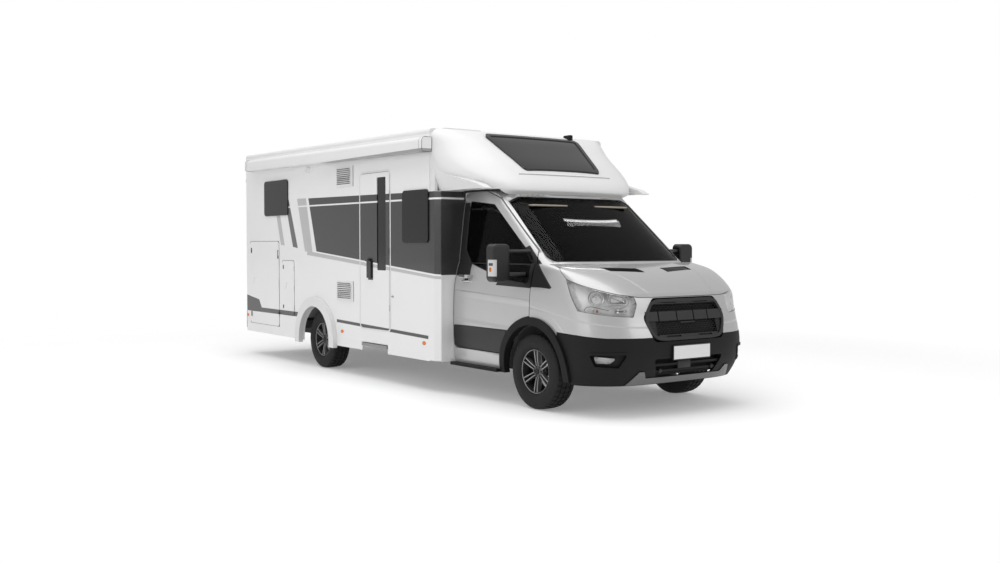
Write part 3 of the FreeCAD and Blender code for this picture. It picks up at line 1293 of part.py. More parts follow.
def make_rim(name):
    """Outer face towards +Y: a barrel, a dished disc and openings between the spokes."""
    barrel = turned(f"{name}_barrel", "YZ", [
        (-lip, bead_radius - seal, 0), (-lip, bead_radius - rim_wall, 0),
        (hub_face, bead_radius - rim_wall * 3, 0), (hub_face, spindle_radius + seal, 0),
        (hub_face + spoke_disc, spindle_radius + seal, 0), (hub_face + spoke_disc, hub_radius, 0),
        (lip - rim_wall, bead_radius - rim_wall, 0), (lip, bead_radius - rim_wall, 0),
        (lip, bead_radius - seal, 0)], "H_Axis")
    inner, outer = hub_radius + spoke_rim, bead_radius - rim_wall * 3 - spoke_rim / 2
    loops = {"wide": [(-inner * 0.16, inner, 0), (inner * 0.16, inner, 0),
                      (outer * 0.27, outer * 0.95, 0), (-outer * 0.27, outer * 0.95, 0)],
             "narrow": [(-inner * 0.06, inner * 1.15, 0), (inner * 0.06, inner * 1.15, 0),
                        (outer * 0.085, outer, 0), (-outer * 0.085, outer, 0)]}
    for kind, corners in loops.items():
        sketch = sketched(barrel, "XZ", 0, [corners])
        opening = barrel.newObject("PartDesign::Pocket", f"{name}_{kind}_opening")
        opening.Profile = sketch
        opening.Type = "ThroughAll"
        opening.Midplane = True
        spread = barrel.newObject("PartDesign::PolarPattern", f"{name}_{kind}_pattern")
        spread.Originals = [opening]
        spread.Axis = (sketch, ["N_Axis"])
        spread.Angle = 360
        spread.Occurrences = 6
        barrel.Tip = spread
    return barrel


for label, x, track in (("front_right", front_axle, front_track), ("front_left", front_axle, front_track),
                        ("rear_right", rear_axle, rear_track), ("rear_left", rear_axle, rear_track)):
    right = label.endswith("right")
    y = -track / 2 if right else track / 2
    for kind, make in (("tyre", make_tyre), ("rim", make_rim)):
        wheel = make(f"{kind}_{label}")
        wheel.Placement = FreeCAD.Placement(Vector(), Rotation(Vector(0, 0, 1), 180 if right else 0))
        place(wheel, x, y, axle_height)
        node(wheel, f"{kind}_{label}")

# Entrance step, folded away under the door, and the steps below the cab doors.
step_edge = -half_body - step_out
node(box("step_tread", (step_x - step_width, step_x), (step_edge, step_edge + step_depth),
         (step_foot, step_foot + step_height)), "entrance_step")
runner = size("runner", 30.0)
case_side = (-half_body + skirt_thickness + overrun / 3, -rail_spread / 2 - seal)
case = [box(f"step_runner_{k}", (x, x + runner), case_side,
            (step_foot, step_foot + step_height + seal + runner))
        for k, x in enumerate((step_x - step_width - seal - runner, step_x + seal))]
case.append(box("step_bridge", (step_x - step_width - seal - runner, step_x + seal + runner), case_side,
                (step_foot + step_height + seal, step_foot + step_height + seal + runner)))
node(fuse("step_case", case), "step_housing")
tread_width = size("tread_width", 120.0)
tread_thickness = size("tread_thickness", 30.0)
treads = [box(f"cab_step_{k}", (cab_rear, front_axle - flare_radius - running_gap),
              (y, y + tread_width), (sill_foot - seal - tread_thickness, sill_foot - seal))
          for k, y in enumerate((-half_cab - tread_width / 3, half_cab - tread_width * 2 / 3))]
node(bundle("cab_steps_all", treads), "cab_steps")

# Engine as one plain block, and the waste water tank below the floor.
engine_length = size("engine_length", 520.0)
engine_width = size("engine_width", 640.0)
engine_height = size("engine_height", 520.0)
engine_gap = size("engine_gap", 40.0)
engine_x = front_axle + firewall_reach + floor_thickness + engine_gap
node(box("engine", (engine_x, engine_x + engine_length), (-engine_width / 2, engine_width / 2),
         (rail_foot + rail_height - rail_wall + seal, rail_foot + rail_height + engine_height)),
     "engine_block")
tank_length = size("tank_length", 900.0)
tank_width = size("tank_width", 520.0)
tank_height = size("tank_height", 190.0)
tank = box("tank", (rear_axle + cab_length, rear_axle + cab_length + tank_length),
           (rail_spread / 2 + seal, rail_spread / 2 + seal + tank_width),
           (rail_foot + rail_height - seal - tank_height, rail_foot + rail_height - seal))
node(tank, "underfloor_tanks")

# Dashboard, steering wheel and cab seats.
dash_top = size("dash_top", 1190.0)
dash_foot = size("dash_foot", 860.0)
dash_depth = size("dash_depth", 420.0)
dash_corner = size("dash_corner", 60.0)
dash_front = front_axle + firewall_reach - seal
dash_half = half_cab - cab_skin - ring_depth - overrun
dash = padded("dash", "XZ", (-dash_half, dash_half), [[
    (dash_front, dash_foot, 0), (dash_front, dash_top, 0),
    (dash_front - dash_depth * 0.8, dash_top - overrun / 3, dash_corner),
    (dash_front - dash_depth, dash_foot + dash_corner * 2, dash_corner),
    (dash_front - dash_depth * 0.6, dash_foot, dash_corner / 2)]])
node(dash, "dashboard")

wheel_radius = size("wheel_radius", 190.0)
wheel_grip = size("wheel_grip", 15.0)
wheel_set_back = size("wheel_set_back", 420.0)
wheel_height = size("wheel_height", 1180.0)
wheel_side = size("wheel_side", 430.0)
wheel_tilt = 28
spoke_thickness = size("spoke_thickness", 14.0)
hub_cap = size("hub_cap", 62.0)
hub_depth = size("hub_depth", 40.0)
column_length = size("column_length", 240.0)
grip_line = wheel_radius - wheel_grip
rim_ring = doc.addObject("Part::Torus", "wheel_ring")
bind(rim_ring, "Radius1", grip_line)
bind(rim_ring, "Radius2", wheel_grip)
column = rod("wheel_column", "Z", hub_cap / 2, column_length, (0, 0, -column_length))
centre_pad = rod("wheel_pad", "Z", hub_cap, hub_depth, (0, 0, -hub_depth / 2))
cross_spoke = box("wheel_spoke_across", (-spoke_thickness * 2, spoke_thickness),
                  (-grip_line, grip_line), (-spoke_thickness / 2, spoke_thickness / 2))
down_spoke = box("wheel_spoke_down", (-grip_line, 0), (-spoke_thickness, spoke_thickness),
                 (-spoke_thickness / 2, spoke_thickness / 2))
wheel_and_column = fuse("wheel_and_column", [rim_ring, column, centre_pad, cross_spoke, down_spoke])
wheel_and_column.Placement = FreeCAD.Placement(Vector(), Rotation(Vector(0, 1, 0), -wheel_tilt))
place(wheel_and_column, front_axle - wheel_set_back, wheel_side, wheel_height)
node(cut("steering_wheel_cut", wheel_and_column, dash), "steering_wheel")

seat_side = size("seat_side", 450.0)
seat_width = size("seat_width", 500.0)
seat_front_set = size("seat_front_set", 680.0)
seat_depth = size("seat_depth", 500.0)
seat_foot = size("seat_foot", 900.0)
seat_pad = size("seat_pad", 130.0)
back_height = size("back_height", 640.0)
back_thickness = size("back_thickness", 120.0)
back_lean = size("back_lean", 130.0)
rest_height = size("rest_height", 210.0)
rest_width = size("rest_width", 270.0)
rest_thickness = size("rest_thickness", 95.0)
rest_gap = size("rest_gap", 30.0)
pad_round = size("pad_round", 35.0)
seat_front = front_axle - seat_front_set
seat_rear = seat_front - seat_depth
seat_top = seat_foot + seat_pad
pedestals = []
pads = []
for sign, side in ((-1, "right"), (1, "left")):
    middle = seat_side * sign
    low, high = middle - seat_width / 2, middle + seat_width / 2
    pedestals.append(box(f"seat_base_{side}", (seat_rear + overrun, seat_front - overrun),
                         (low + overrun, high - overrun), (cab_floor + seal, seat_foot - seal)))
    pads.append(padded(f"seat_cushion_{side}", "XZ", (low, high), [[
        (seat_rear, seat_foot, pad_round), (seat_rear, seat_top, pad_round),
        (seat_front, seat_top, pad_round), (seat_front, seat_foot, pad_round)]]))
    back_foot = seat_top + seal
    pads.append(padded(f"seat_back_{side}", "XZ", (low, high), [[
        (seat_rear - back_thickness / 3, back_foot, pad_round),
        (seat_rear - back_thickness / 3 - back_lean, back_foot + back_height, pad_round),
        (seat_rear + back_thickness * 2 / 3 - back_lean, back_foot + back_height, pad_round),
        (seat_rear + back_thickness * 2 / 3, back_foot, pad_round)]]))
    rest_x = seat_rear - back_lean
    rest_foot = back_foot + back_height + rest_gap
    pads.append(padded(f"head_rest_{side}", "XZ", (middle - rest_width / 2, middle + rest_width / 2), [
        rectangle((rest_x - rest_thickness / 3, rest_x + rest_thickness * 2 / 3),
                  (rest_foot, rest_foot + rest_height), pad_round)]))
    for k, offset in enumerate((-1, 1)):
        pedestals.append(rod(f"rest_post_{side}_{k}", "Z", wheel_grip / 2, rest_gap - seal * 2,
                             (rest_x + rest_thickness / 6, middle + offset * rest_width / 4,
                              rest_foot - rest_gap + seal)))
node(bundle("seat_frames_all", pedestals), "seat_frames")
node(bundle("seat_pads_all", pads), "seat_pads")

doc.recompute()
for piece in doc.Objects:
    if {"Invalid", "Error"} & set(piece.State):
        raise RuntimeError(f"{piece.Label} failed: {piece.State}")
for piece in nodes:
    if piece.Shape.isNull() or not piece.Shape.isValid():
        raise RuntimeError(f"{piece.Label} has no valid shape")
os.makedirs("parts", exist_ok=True)
for piece in nodes:
    piece.Shape.exportStep(f"parts/{piece.Label}.step")
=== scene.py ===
import json
import math

import bpy
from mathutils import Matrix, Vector

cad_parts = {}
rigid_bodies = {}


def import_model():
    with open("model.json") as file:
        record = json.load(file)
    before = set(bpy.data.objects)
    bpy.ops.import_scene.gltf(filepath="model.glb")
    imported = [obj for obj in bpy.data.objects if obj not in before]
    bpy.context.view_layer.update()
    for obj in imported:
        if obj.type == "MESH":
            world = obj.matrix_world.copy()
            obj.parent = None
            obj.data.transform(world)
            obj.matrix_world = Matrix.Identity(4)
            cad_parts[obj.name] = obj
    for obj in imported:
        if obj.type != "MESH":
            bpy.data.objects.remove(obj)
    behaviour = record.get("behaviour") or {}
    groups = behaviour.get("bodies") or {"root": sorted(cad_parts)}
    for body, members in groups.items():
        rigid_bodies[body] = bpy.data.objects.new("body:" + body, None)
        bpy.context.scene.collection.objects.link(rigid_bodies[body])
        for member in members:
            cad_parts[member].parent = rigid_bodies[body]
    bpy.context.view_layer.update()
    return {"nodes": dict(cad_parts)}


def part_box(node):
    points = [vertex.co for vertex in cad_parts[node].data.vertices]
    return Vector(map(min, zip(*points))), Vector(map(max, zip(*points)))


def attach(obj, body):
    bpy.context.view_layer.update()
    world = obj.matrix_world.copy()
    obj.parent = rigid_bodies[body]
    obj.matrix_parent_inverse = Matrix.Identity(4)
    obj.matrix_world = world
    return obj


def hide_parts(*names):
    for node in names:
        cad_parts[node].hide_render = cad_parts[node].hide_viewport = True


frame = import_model()
nodes = frame["nodes"]
bpy.ops.object.select_all(action="DESELECT")

# Camera: a studio view from ahead of the front right corner, at standing eye height and
# looking very slightly down.
camera_place = (10.004, -6.727, 1.504)
camera_yaw, camera_pitch = math.radians(143.9), math.radians(-2.021)
camera_lens, camera_film, camera_reach = 36.87, 36, 200
looking = Vector((math.cos(camera_pitch) * math.cos(camera_yaw),
                  math.cos(camera_pitch) * math.sin(camera_yaw), math.sin(camera_pitch)))
bpy.ops.object.camera_add(location=camera_place)
camera = bpy.context.object
camera.rotation_euler = looking.to_track_quat("-Z", "Y").to_euler()
camera.data.lens = camera_lens
camera.data.sensor_width = camera_film
camera.data.clip_end = camera_reach
bpy.context.scene.camera = camera
bpy.context.scene.view_settings.view_transform = "Standard"


# Studio: a white sweep that goes to plain white away from the vehicle and keeps its
# shadow, lit by one wide soft box overhead, weaker ones ahead, beside and under
# the cab's roof, and an even surround.
def linear(shade):
    """A colour as it looks on screen, from 0 to 255, as the linear values a shader takes."""
    values = shade if isinstance(shade, tuple) else (shade, shade, shade)
    return tuple((v / 255 / 12.92) if v <= 10 else ((v / 255 + 0.055) / 1.055) ** 2.4 for v in values)


def node(tree, kind, sockets=(), **settings):
    """Adds a node, sets its properties, and fills or links its sockets."""
    made = tree.nodes.new(kind)
    for name, value in settings.items():
        setattr(made, name, value)
    for key, value in dict(sockets).items():
        if isinstance(value, bpy.types.NodeSocket):
            tree.links.new(value, made.inputs[key])
        else:
            made.inputs[key].default_value = value
    return made


def sum_of(tree, operation, first, second=0.0, third=0.0, clamp=False):
    """One Math node's result."""
    values = {0: first, 1: second, 2: third}
    return node(tree, "ShaderNodeMath", values, operation=operation, use_clamp=clamp).outputs[0]


def emptied(holder):
    """The node tree of a material or world, with nothing in it yet."""
    holder.use_nodes = True
    holder.node_tree.nodes.clear()
    return holder.node_tree


def seen_rays(tree, *kinds):
    """1 for the rays of these kinds, and 0 for all others."""
    rays = node(tree, "ShaderNodeLightPath")
    seen = rays.outputs[kinds[0]]
    for kind in kinds[1:]:
        seen = sum_of(tree, "ADD", seen, rays.outputs[kind], clamp=True)
    return seen


floor_half = 60.0
floor_shade, floor_glow = 238, 0.22
sweep_near, sweep_far = 4.2, 8.5
surround_shade, surround_strength = 250, 0.62
pure_white = (1, 1, 1, 1)
bpy.ops.mesh.primitive_grid_add(x_subdivisions=8, y_subdivisions=8, size=floor_half * 2, location=(0, 0, 0))
floor = bpy.context.object
floor.name = "studio_floor"
floor_paper = bpy.data.materials.new("white_sweep")
tree = emptied(floor_paper)
seen = seen_rays(tree, "Is Camera Ray", "Is Glossy Ray", "Is Transmission Ray")
glow_strength = sum_of(tree, "MULTIPLY", seen, floor_glow)
glow = node(tree, "ShaderNodeEmission", {"Color": pure_white, "Strength": glow_strength})
paper = node(tree, "ShaderNodeBsdfDiffuse", {"Color": (*linear(floor_shade), 1)})
near = node(tree, "ShaderNodeAddShader", {0: paper.outputs[0], 1: glow.outputs[0]})
far = node(tree, "ShaderNodeEmission", {"Color": pure_white, "Strength": 1.0})
floor_spot = node(tree, "ShaderNodeTexCoord").outputs["Object"]
away = node(tree, "ShaderNodeVectorMath", {0: floor_spot}, operation="LENGTH").outputs["Value"]
fade = node(tree, "ShaderNodeMapRange", {"Value": away, "From Min": sweep_near, "From Max": sweep_far},
            interpolation_type="SMOOTHSTEP")
turned_white = sum_of(tree, "MULTIPLY", fade.outputs[0], seen)
sweep = node(tree, "ShaderNodeMixShader", {0: turned_white, 1: near.outputs[0], 2: far.outputs[0]})
node(tree, "ShaderNodeOutputMaterial", {"Surface": sweep.outputs[0]})
floor.data.materials.append(floor_paper)

world = bpy.data.worlds.new("studio_surround")
bpy.context.scene.world = world
tree = emptied(world)
seen = seen_rays(tree, "Is Camera Ray", "Is Transmission Ray")
plain = node(tree, "ShaderNodeBackground", {"Color": pure_white, "Strength": 1.0})
fill = node(tree, "ShaderNodeBackground", {"Color": (*linear(surround_shade), 1),
                                           "Strength": surround_strength})
choice = node(tree, "ShaderNodeMixShader", {0: seen, 1: fill.outputs[0], 2: plain.outputs[0]})
node(tree, "ShaderNodeOutputWorld", {"Surface": choice.outputs[0]})

# Each lamp's place, the place it aims at, its size and its power.
LAMPS = {"overhead_box": ((0.2, -1.2, 8.5), (0.3, -0.2, 1.0), (12, 8), 490),
         "front_box": ((12.0, 3.0, 5.0), (3.0, 0, 1.2), (6, 4), 110),
         "cab_roof_light": ((1.9, 0, 1.93), (1.6, 0, 1.2), (0.7, 1.1), 16),
         "side_box": ((1.5, -10.0, 4.2), (0.5, -1.0, 1.3), (9, 4), 165)}
for name, (place, aim, size, power) in LAMPS.items():
    bpy.ops.object.light_add(type="AREA", location=place)
    lamp = bpy.context.object
    lamp.name = name
    lamp.rotation_euler = (Vector(aim) - Vector(place)).to_track_quat("-Z", "Y").to_euler()
    lamp.data.shape = "RECTANGLE"
    lamp.data.size, lamp.data.size_y = size
    lamp.data.energy = power
    lamp.visible_camera = False


# Body paint: white gelcoat on the mouldings and enamelled sheet on the walls, both with a
# faint orange peel under a clear gloss. The foil graphics lie on the walls, the entrance
# door, the flaps and the corner mouldings, and run on over the rear of the cab door.
def plus(tree, first, second):
    """Two values added."""
    return sum_of(tree, "ADD", first, second)


def less(tree, first, second):
    """One value less another."""
    return sum_of(tree, "SUBTRACT", first, second)


def times(tree, first, second):
    """Two values multiplied."""
    return sum_of(tree, "MULTIPLY", first, second)


def plain_size(tree, value):
    """A value without its sign."""
    return sum_of(tree, "ABSOLUTE", value)


def effect_group(name, inputs, outputs):
    """An empty shader node group, with its sockets named and given a kind."""
    group = bpy.data.node_groups.new(name, "ShaderNodeTree")
    for way, sockets in (("INPUT", inputs), ("OUTPUT", outputs)):
        for socket, kind in sockets.items():
            group.interface.new_socket(name=socket, in_out=way, socket_type="NodeSocket" + kind)
    return group


def own_place(tree):
    """The place on a piece, in the vehicle's own axes."""
    return node(tree, "ShaderNodeTexCoord").outputs["Object"]


def own_axes(tree):
    """The place on a piece as X, Y and Z."""
    return node(tree, "ShaderNodeSeparateXYZ", {"Vector": own_place(tree)}).outputs


broad_scale = 2.3
grain = effect_group("surface_grain", {"Scale": "Float", "Depth": "Float"},
                     {"Normal": "Vector", "Mottle": "Float"})
given, spot = node(grain, "NodeGroupInput").outputs, own_place(grain)
fine = node(grain, "ShaderNodeTexNoise", {"Vector": spot, "Scale": given["Scale"], "Detail": 3.0})
broad = node(grain, "ShaderNodeTexNoise", {"Vector": spot, "Scale": broad_scale, "Detail": 4.0})
bump = node(grain, "ShaderNodeBump", {"Height": fine.outputs["Fac"], "Distance": given["Depth"],
                                      "Strength": 1.0})
node(grain, "NodeGroupOutput", {"Normal": bump.outputs["Normal"], "Mottle": broad.outputs["Fac"]})


def mixed(tree, share, first, second):
    """A colour between two, by a share that changes over the surface."""
    made = node(tree, "ShaderNodeMix", {0: share}, data_type="RGBA")
    for index, value in ((6, first), (7, second)):
        if isinstance(value, bpy.types.NodeSocket):
            tree.links.new(value, made.inputs[index])
        else:
            made.inputs[index].default_value = (*value, 1)
    return made.outputs[2]


def shading_of(material):
    """A material's node tree and the inputs of its shader."""
    material.use_nodes = True
    return material.node_tree, material.node_tree.nodes["Principled BSDF"].inputs


def finish(name, colour, roughness, scale, depth, metallic=0.0, coat=0.0, change=0.05, **more):
    """A finish with its grain, and a broad soft change of tone and gloss over the piece."""
    made = bpy.data.materials.new(name)
    tree, shading = shading_of(made)
    skin = node(tree, "ShaderNodeGroup", node_tree=grain)
    skin.inputs["Scale"].default_value = scale
    skin.inputs["Depth"].default_value = depth
    tone = linear(colour)
    darker = tuple(v * (1 - change) for v in tone)
    rough = node(tree, "ShaderNodeMapRange", {"Value": skin.outputs["Mottle"], "To Min": roughness * 0.88,
                                              "To Max": min(1.0, roughness * 1.12)})
    tree.links.new(mixed(tree, skin.outputs["Mottle"], darker, tone), shading["Base Color"])
    tree.links.new(skin.outputs["Normal"], shading["Normal"])
    tree.links.new(rough.outputs[0], shading["Roughness"])
    plain_values = {"Metallic": metallic, "Coat Weight": coat, "Coat Roughness": 0.06}
    for key, value in {**plain_values, **more}.items():
        shading[key.replace("_", " ")].default_value = value
    return made


def dress(material, *names):
    """Gives CAD nodes a finish."""
    for name in names:
        nodes[name].data.materials.clear()
        nodes[name].data.materials.append(material)


# Foil graphics in side view: each is a convex outline, x and z of its corners in metres.
BAND = [(-1.657, 2.085), (-1.438, 1.429), (1.291, 1.210), (1.600, 1.185), (1.600, 2.046)]
BELT = [(-1.430, 1.412), (-1.700, 1.434), (-1.700, 1.386), (1.330, 1.160), (1.330, 1.192)]
PALE_SLANT = [(-1.982, 2.090), (-1.760, 1.430), (-1.548, 1.413), (-1.722, 2.088)]
DARK_SLANT = [(-2.345, 2.090), (-2.111, 1.485), (-1.969, 1.470), (-2.231, 2.088)]
THIN_SLANT = [(-2.640, 1.960), (-2.478, 1.512), (-2.366, 1.503), (-2.520, 1.960)]
PINSTRIPE = [(-2.700, 2.004), (-2.700, 1.988), (1.600, 1.968), (1.600, 1.986)]
LOW_STRIPE = [(-0.905, 0.632), (-0.905, 0.598), (1.125, 0.545), (1.125, 0.579)]
TAIL_BLOCK = [(-3.640, 0.822), (-3.640, 0.602), (-3.112, 0.602), (-3.112, 0.668), (-3.195, 0.770)]
TAIL_STRIP = [(-3.200, 0.662), (-3.200, 0.602), (-1.780, 0.602), (-1.780, 0.660)]
FOILS = {"Dark": (BAND, LOW_STRIPE, TAIL_BLOCK, TAIL_STRIP), "Mid": (DARK_SLANT,),
         "Pale": (BELT, PALE_SLANT, THIN_SLANT)}
FOIL_SHADES = {"Dark": 52, "Mid": 96, "Pale": 186}
foil_from_middle = 0.86
edge_softness = 0.0012


def inside_outline(tree, across, up, corners):
    """A mask that is 1 inside a convex outline in side view, and soft over a hair's width."""
    middle_x = sum(x for x, z in corners) / len(corners)
    middle_z = sum(z for x, z in corners) / len(corners)
    mask = None
    for (x0, z0), (x1, z1) in zip(corners, corners[1:] + corners[:1]):
        length = math.hypot(x1 - x0, z1 - z0)
        nx, nz = (z1 - z0) / length, -(x1 - x0) / length
        offset = nx * x0 + nz * z0
        if nx * middle_x + nz * middle_z > offset:
            nx, nz, offset = -nx, -nz, -offset
        along = sum_of(tree, "MULTIPLY_ADD", across, nx, times(tree, up, nz))
        edge = node(tree, "ShaderNodeMapRange", {"Value": along, "From Min": offset + edge_softness,
                                                 "From Max": offset, "To Min": 0.0, "To Max": 1.0}).outputs[0]
        mask = edge if mask is None else times(tree, mask, edge)
    return mask


graphics = effect_group("foil_graphics", {}, {name: "Float" for name in FOILS})
axes = own_axes(graphics)
on_side = sum_of(graphics, "GREATER_THAN", plain_size(graphics, axes["Y"]), foil_from_middle)
off_pinstripe = less(graphics, 1.0, inside_outline(graphics, axes["X"], axes["Z"], PINSTRIPE))
masks = {}
for name, outlines in FOILS.items():
    total = 0.0
    for corners in outlines:
        total = sum_of(graphics, "MAXIMUM", total, inside_outline(graphics, axes["X"], axes["Z"], corners))
    masks[name] = times(graphics, times(graphics, total, off_pinstripe), on_side)
node(graphics, "NodeGroupOutput", masks)


def laid_over(material, mask, shade):
    """Lays another colour over a material's own where a mask is 1."""
    tree, shading = shading_of(material)
    own_colour = shading["Base Color"].links[0].from_socket
    tree.links.new(mixed(tree, mask, own_colour, linear(shade)), shading["Base Color"])


def with_graphics(material):
    """Lays the foil over a material's own colour."""
    foil = node(material.node_tree, "ShaderNodeGroup", node_tree=graphics)
    for name, shade in FOIL_SHADES.items():
        laid_over(material, foil.outputs[name], shade)
    return material


def wall_sheet(name):
    """The walls' white enamel with the foil on it."""
    return with_graphics(finish(name, 236, 0.34, 140.0, 0.00025, coat=0.35, change=0.02))


dress(wall_sheet("wall_enamel"), "side_wall_right", "side_wall_left", "garage_door_right", "garage_door_left",
      "service_hatch_right", "service_hatch_left", "corner_panels", "side_skirts")
gelcoat = finish("white_gelcoat", 224, 0.42, 90.0, 0.0003, coat=0.25, change=0.02)
dress(gelcoat, "roof_cap", "arch_spats", "roof_panel", "rear_wall")
vent_plastic = finish("vent_plastic", 226, 0.5, 300.0, 0.0002, change=0.03)
dress(vent_plastic, "fridge_vents")


# Cab paint: a silver metallic with fine flake under clear lacquer. The bonnet, doors and
# wings have pressed creases, which bend the light softly along their length.
def cab_paint(name):
    """Silver paint, whose flake makes its gloss change from grain to grain."""
    made = finish(name, 190, 0.34, 2600.0, 0.00002, metallic=0.55, coat=0.8, change=0.05)
    tree, shading = shading_of(made)
    flake = node(tree, "ShaderNodeTexVoronoi", {"Vector": own_place(tree), "Scale": 1400.0})
    bright = node(tree, "ShaderNodeMapRange", {"Value": flake.outputs["Distance"], "To Min": 0.30,
                                               "To Max": 0.42})
    tree.links.new(bright.outputs[0], shading["Roughness"])
    return made


def masked_black(material, across, up, corners):
    """Paints a convex outline of a panel black, where trim covers it or a pocket is lined."""
    tree, shading = shading_of(material)
    axes = own_axes(tree)
    mask = inside_outline(tree, axes[across], plain_size(tree, axes[up]), corners)
    laid_over(material, mask, trim_shade)
    for name in ("Metallic", "Coat Weight"):
        socket = shading[name]
        before = socket.links[0].from_socket if socket.is_linked else socket.default_value
        tree.links.new(times(tree, less(tree, 1.0, mask), before), socket)
    return material


def pressed(material, height, distance):
    """Adds a pressed form to a panel's bump, from a height socket, in metres."""
    tree, shading = shading_of(material)
    bump = node(tree, "ShaderNodeBump", {"Height": height, "Distance": distance, "Strength": 1.0,
                                         "Normal": shading["Normal"].links[0].from_socket})
    tree.links.new(bump.outputs["Normal"], shading["Normal"])


def soft_step(tree, value, start_at, end_at):
    """0 before one value and 1 after another, with a smooth turn between."""
    return node(tree, "ShaderNodeMapRange", {"Value": value, "From Min": start_at, "From Max": end_at},
                interpolation_type="SMOOTHSTEP").outputs[0]


def soft_drop(tree, value, start_at, end_at):
    """1 before one value and 0 after another, with a smooth turn between."""
    return less(tree, 1.0, soft_step(tree, value, start_at, end_at))


def slanted(tree, level, ahead, about, slope):
    """A level that changes along the vehicle, for a crease that runs at a slant."""
    return plus(tree, level, times(tree, less(tree, ahead, about), slope))


# The bonnet's pockets for its louvres: the outer and inner ends, rear then front, as x and y.
POCKET_OUTER, POCKET_INNER = [(3.049, 0.552), (3.171, 0.519)], [(3.109, 0.153), (3.226, 0.144)]
DOOR_SAIL = [(2.26, 1.40), (2.06, 1.125), (2.62, 1.112), (2.62, 1.366), (2.458, 1.504)]
trim_shade = 12
panel_press, door_press = 0.006, 0.008
bonnet_crease = {"about": 3.10, "slope": 0.42}
wing_foot = {"about": 3.22, "slope": 0.16}
door_waist = {"about": 1.45, "slope": 0.045}
front_hub_x, front_hub_z = 2.65, 0.35

silver = cab_paint("silver_metallic")
dress(silver, "cab_body")

bonnet_paint = masked_black(cab_paint("silver_metallic_bonnet"), "X", "Y",
                            [POCKET_OUTER[0], POCKET_INNER[0], POCKET_INNER[1], POCKET_OUTER[1]])
tree = bonnet_paint.node_tree
axes = own_axes(tree)
crease = slanted(tree, plain_size(tree, axes["Y"]), axes["X"], **bonnet_crease)
pressed(bonnet_paint, soft_drop(tree, crease, 0.555, 0.600), panel_press)
dress(bonnet_paint, "bonnet")

wing_paint = cab_paint("silver_metallic_wing")
tree = wing_paint.node_tree
axes = own_axes(tree)
hub_ahead, hub_up = less(tree, axes["X"], front_hub_x), less(tree, axes["Z"], front_hub_z)
from_hub = sum_of(tree, "SQRT", plus(tree, times(tree, hub_ahead, hub_ahead), times(tree, hub_up, hub_up)))
arch_swell = soft_drop(tree, from_hub, 0.565, 0.600)
under_lamp = soft_drop(tree, slanted(tree, axes["Z"], axes["X"], **wing_foot), 0.845, 0.862)
pressed(wing_paint, less(tree, arch_swell, times(tree, under_lamp, 0.8)), panel_press)
dress(wing_paint, "front_wings")

silver_door = masked_black(with_graphics(cab_paint("silver_metallic_door")), "X", "Z", DOOR_SAIL)
tree = silver_door.node_tree
axes = own_axes(tree)
waist = slanted(tree, axes["Z"], axes["X"], **door_waist)
upper_swage = less(tree, soft_step(tree, waist, 0.985, 1.045), soft_step(tree, waist, 1.048, 1.060))
lower_swage = soft_drop(tree, waist, 0.745, 0.790)
pressed(silver_door, plus(tree, upper_swage, lower_swage), door_press)
dress(silver_door, "cab_door_right", "cab_door_left")

# Black mouldings and plate: grained plastic that drinks the light, a skid plate painted
# silver, and a number plate enamelled white and left blank.
black_grain = finish("black_grained_plastic", 11, 0.62, 900.0, 0.00022, change=0.12, Specular_IOR_Level=0.28)
dress(black_grain, "front_bumper", "cab_trims", "mirror_right", "mirror_left", "grille", "cab_steps",
      "rear_bumper")
dress(finish("skid_silver", 118, 0.36, 500.0, 0.00004, metallic=0.7, coat=0.2), "skid_plate")
dress(finish("plate_enamel", 232, 0.4, 300.0, 0.00005), "number_plate")


# Panes and lenses of the living body: smoked acrylic in the walls, the door and the cap,
# pale acrylic in the roof hatches, and red lenses at the tail.
def dark_acrylic(name, shade, roughness):
    """Smoked acrylic: a dark skin with a soft gloss."""
    return finish(name, shade, roughness, 3.0, 0.0002, change=0.1)


dress(dark_acrylic("smoked_acrylic", 9, 0.16), "side_windows")
dress(dark_acrylic("door_glass", 18, 0.12), "entrance_door_glass")
dress(dark_acrylic("roof_acrylic", 40, 0.12), "roof_window")
dress(finish("hatch_acrylic", 214, 0.3, 60.0, 0.0002, coat=0.3), "roof_hatches")
lamp_red = finish("lamp_red", (150, 20, 18), 0.14, 400.0, 0.0004, coat=0.6)
dress(lamp_red, "tail_and_marker_lamps")

# Running gear, underframe and cab inside: black enamelled steel, a cast block, a boarded
# floor, a ribbed alloy step, and moulded plastic for the dashboard and the seats' frames.
underframe = finish("underframe_black", 12, 0.6, 240.0, 0.0005, change=0.25)
dress(underframe, "chassis_frame", "front_axle", "rear_axle", "knuckle_right", "knuckle_left", "step_housing",
      "underfloor_tanks")
dress(finish("cast_iron", 70, 0.7, 180.0, 0.0016, metallic=0.5, change=0.2), "engine_block")
dress(finish("floor_board", 96, 0.7, 60.0, 0.0006, change=0.15), "floor_panel")
dress(finish("step_alloy", 150, 0.4, 500.0, 0.0002, metallic=0.8), "entrance_step")
dash_plastic = finish("dash_plastic", 44, 0.6, 700.0, 0.0003, change=0.1)
dress(dash_plastic, "dashboard", "steering_wheel", "seat_frames")


# Tyres: radial rubber, moulded in one piece. The sidewall is plain but for fine moulded
# rings, and the tread has three grooves round it and cross slots cut into its shoulders.
def start(kind, **settings):
    """Adds a primitive with nothing else selected."""
    bpy.ops.object.select_all(action="DESELECT")
    getattr(bpy.ops.mesh, f"primitive_{kind}_add")(**settings)
    return bpy.context.object


def picked(piece):
    """Selects one piece alone and makes it the active one."""
    bpy.ops.object.select_all(action="DESELECT")
    piece.select_set(True)
    bpy.context.view_layer.objects.active = piece
    return piece


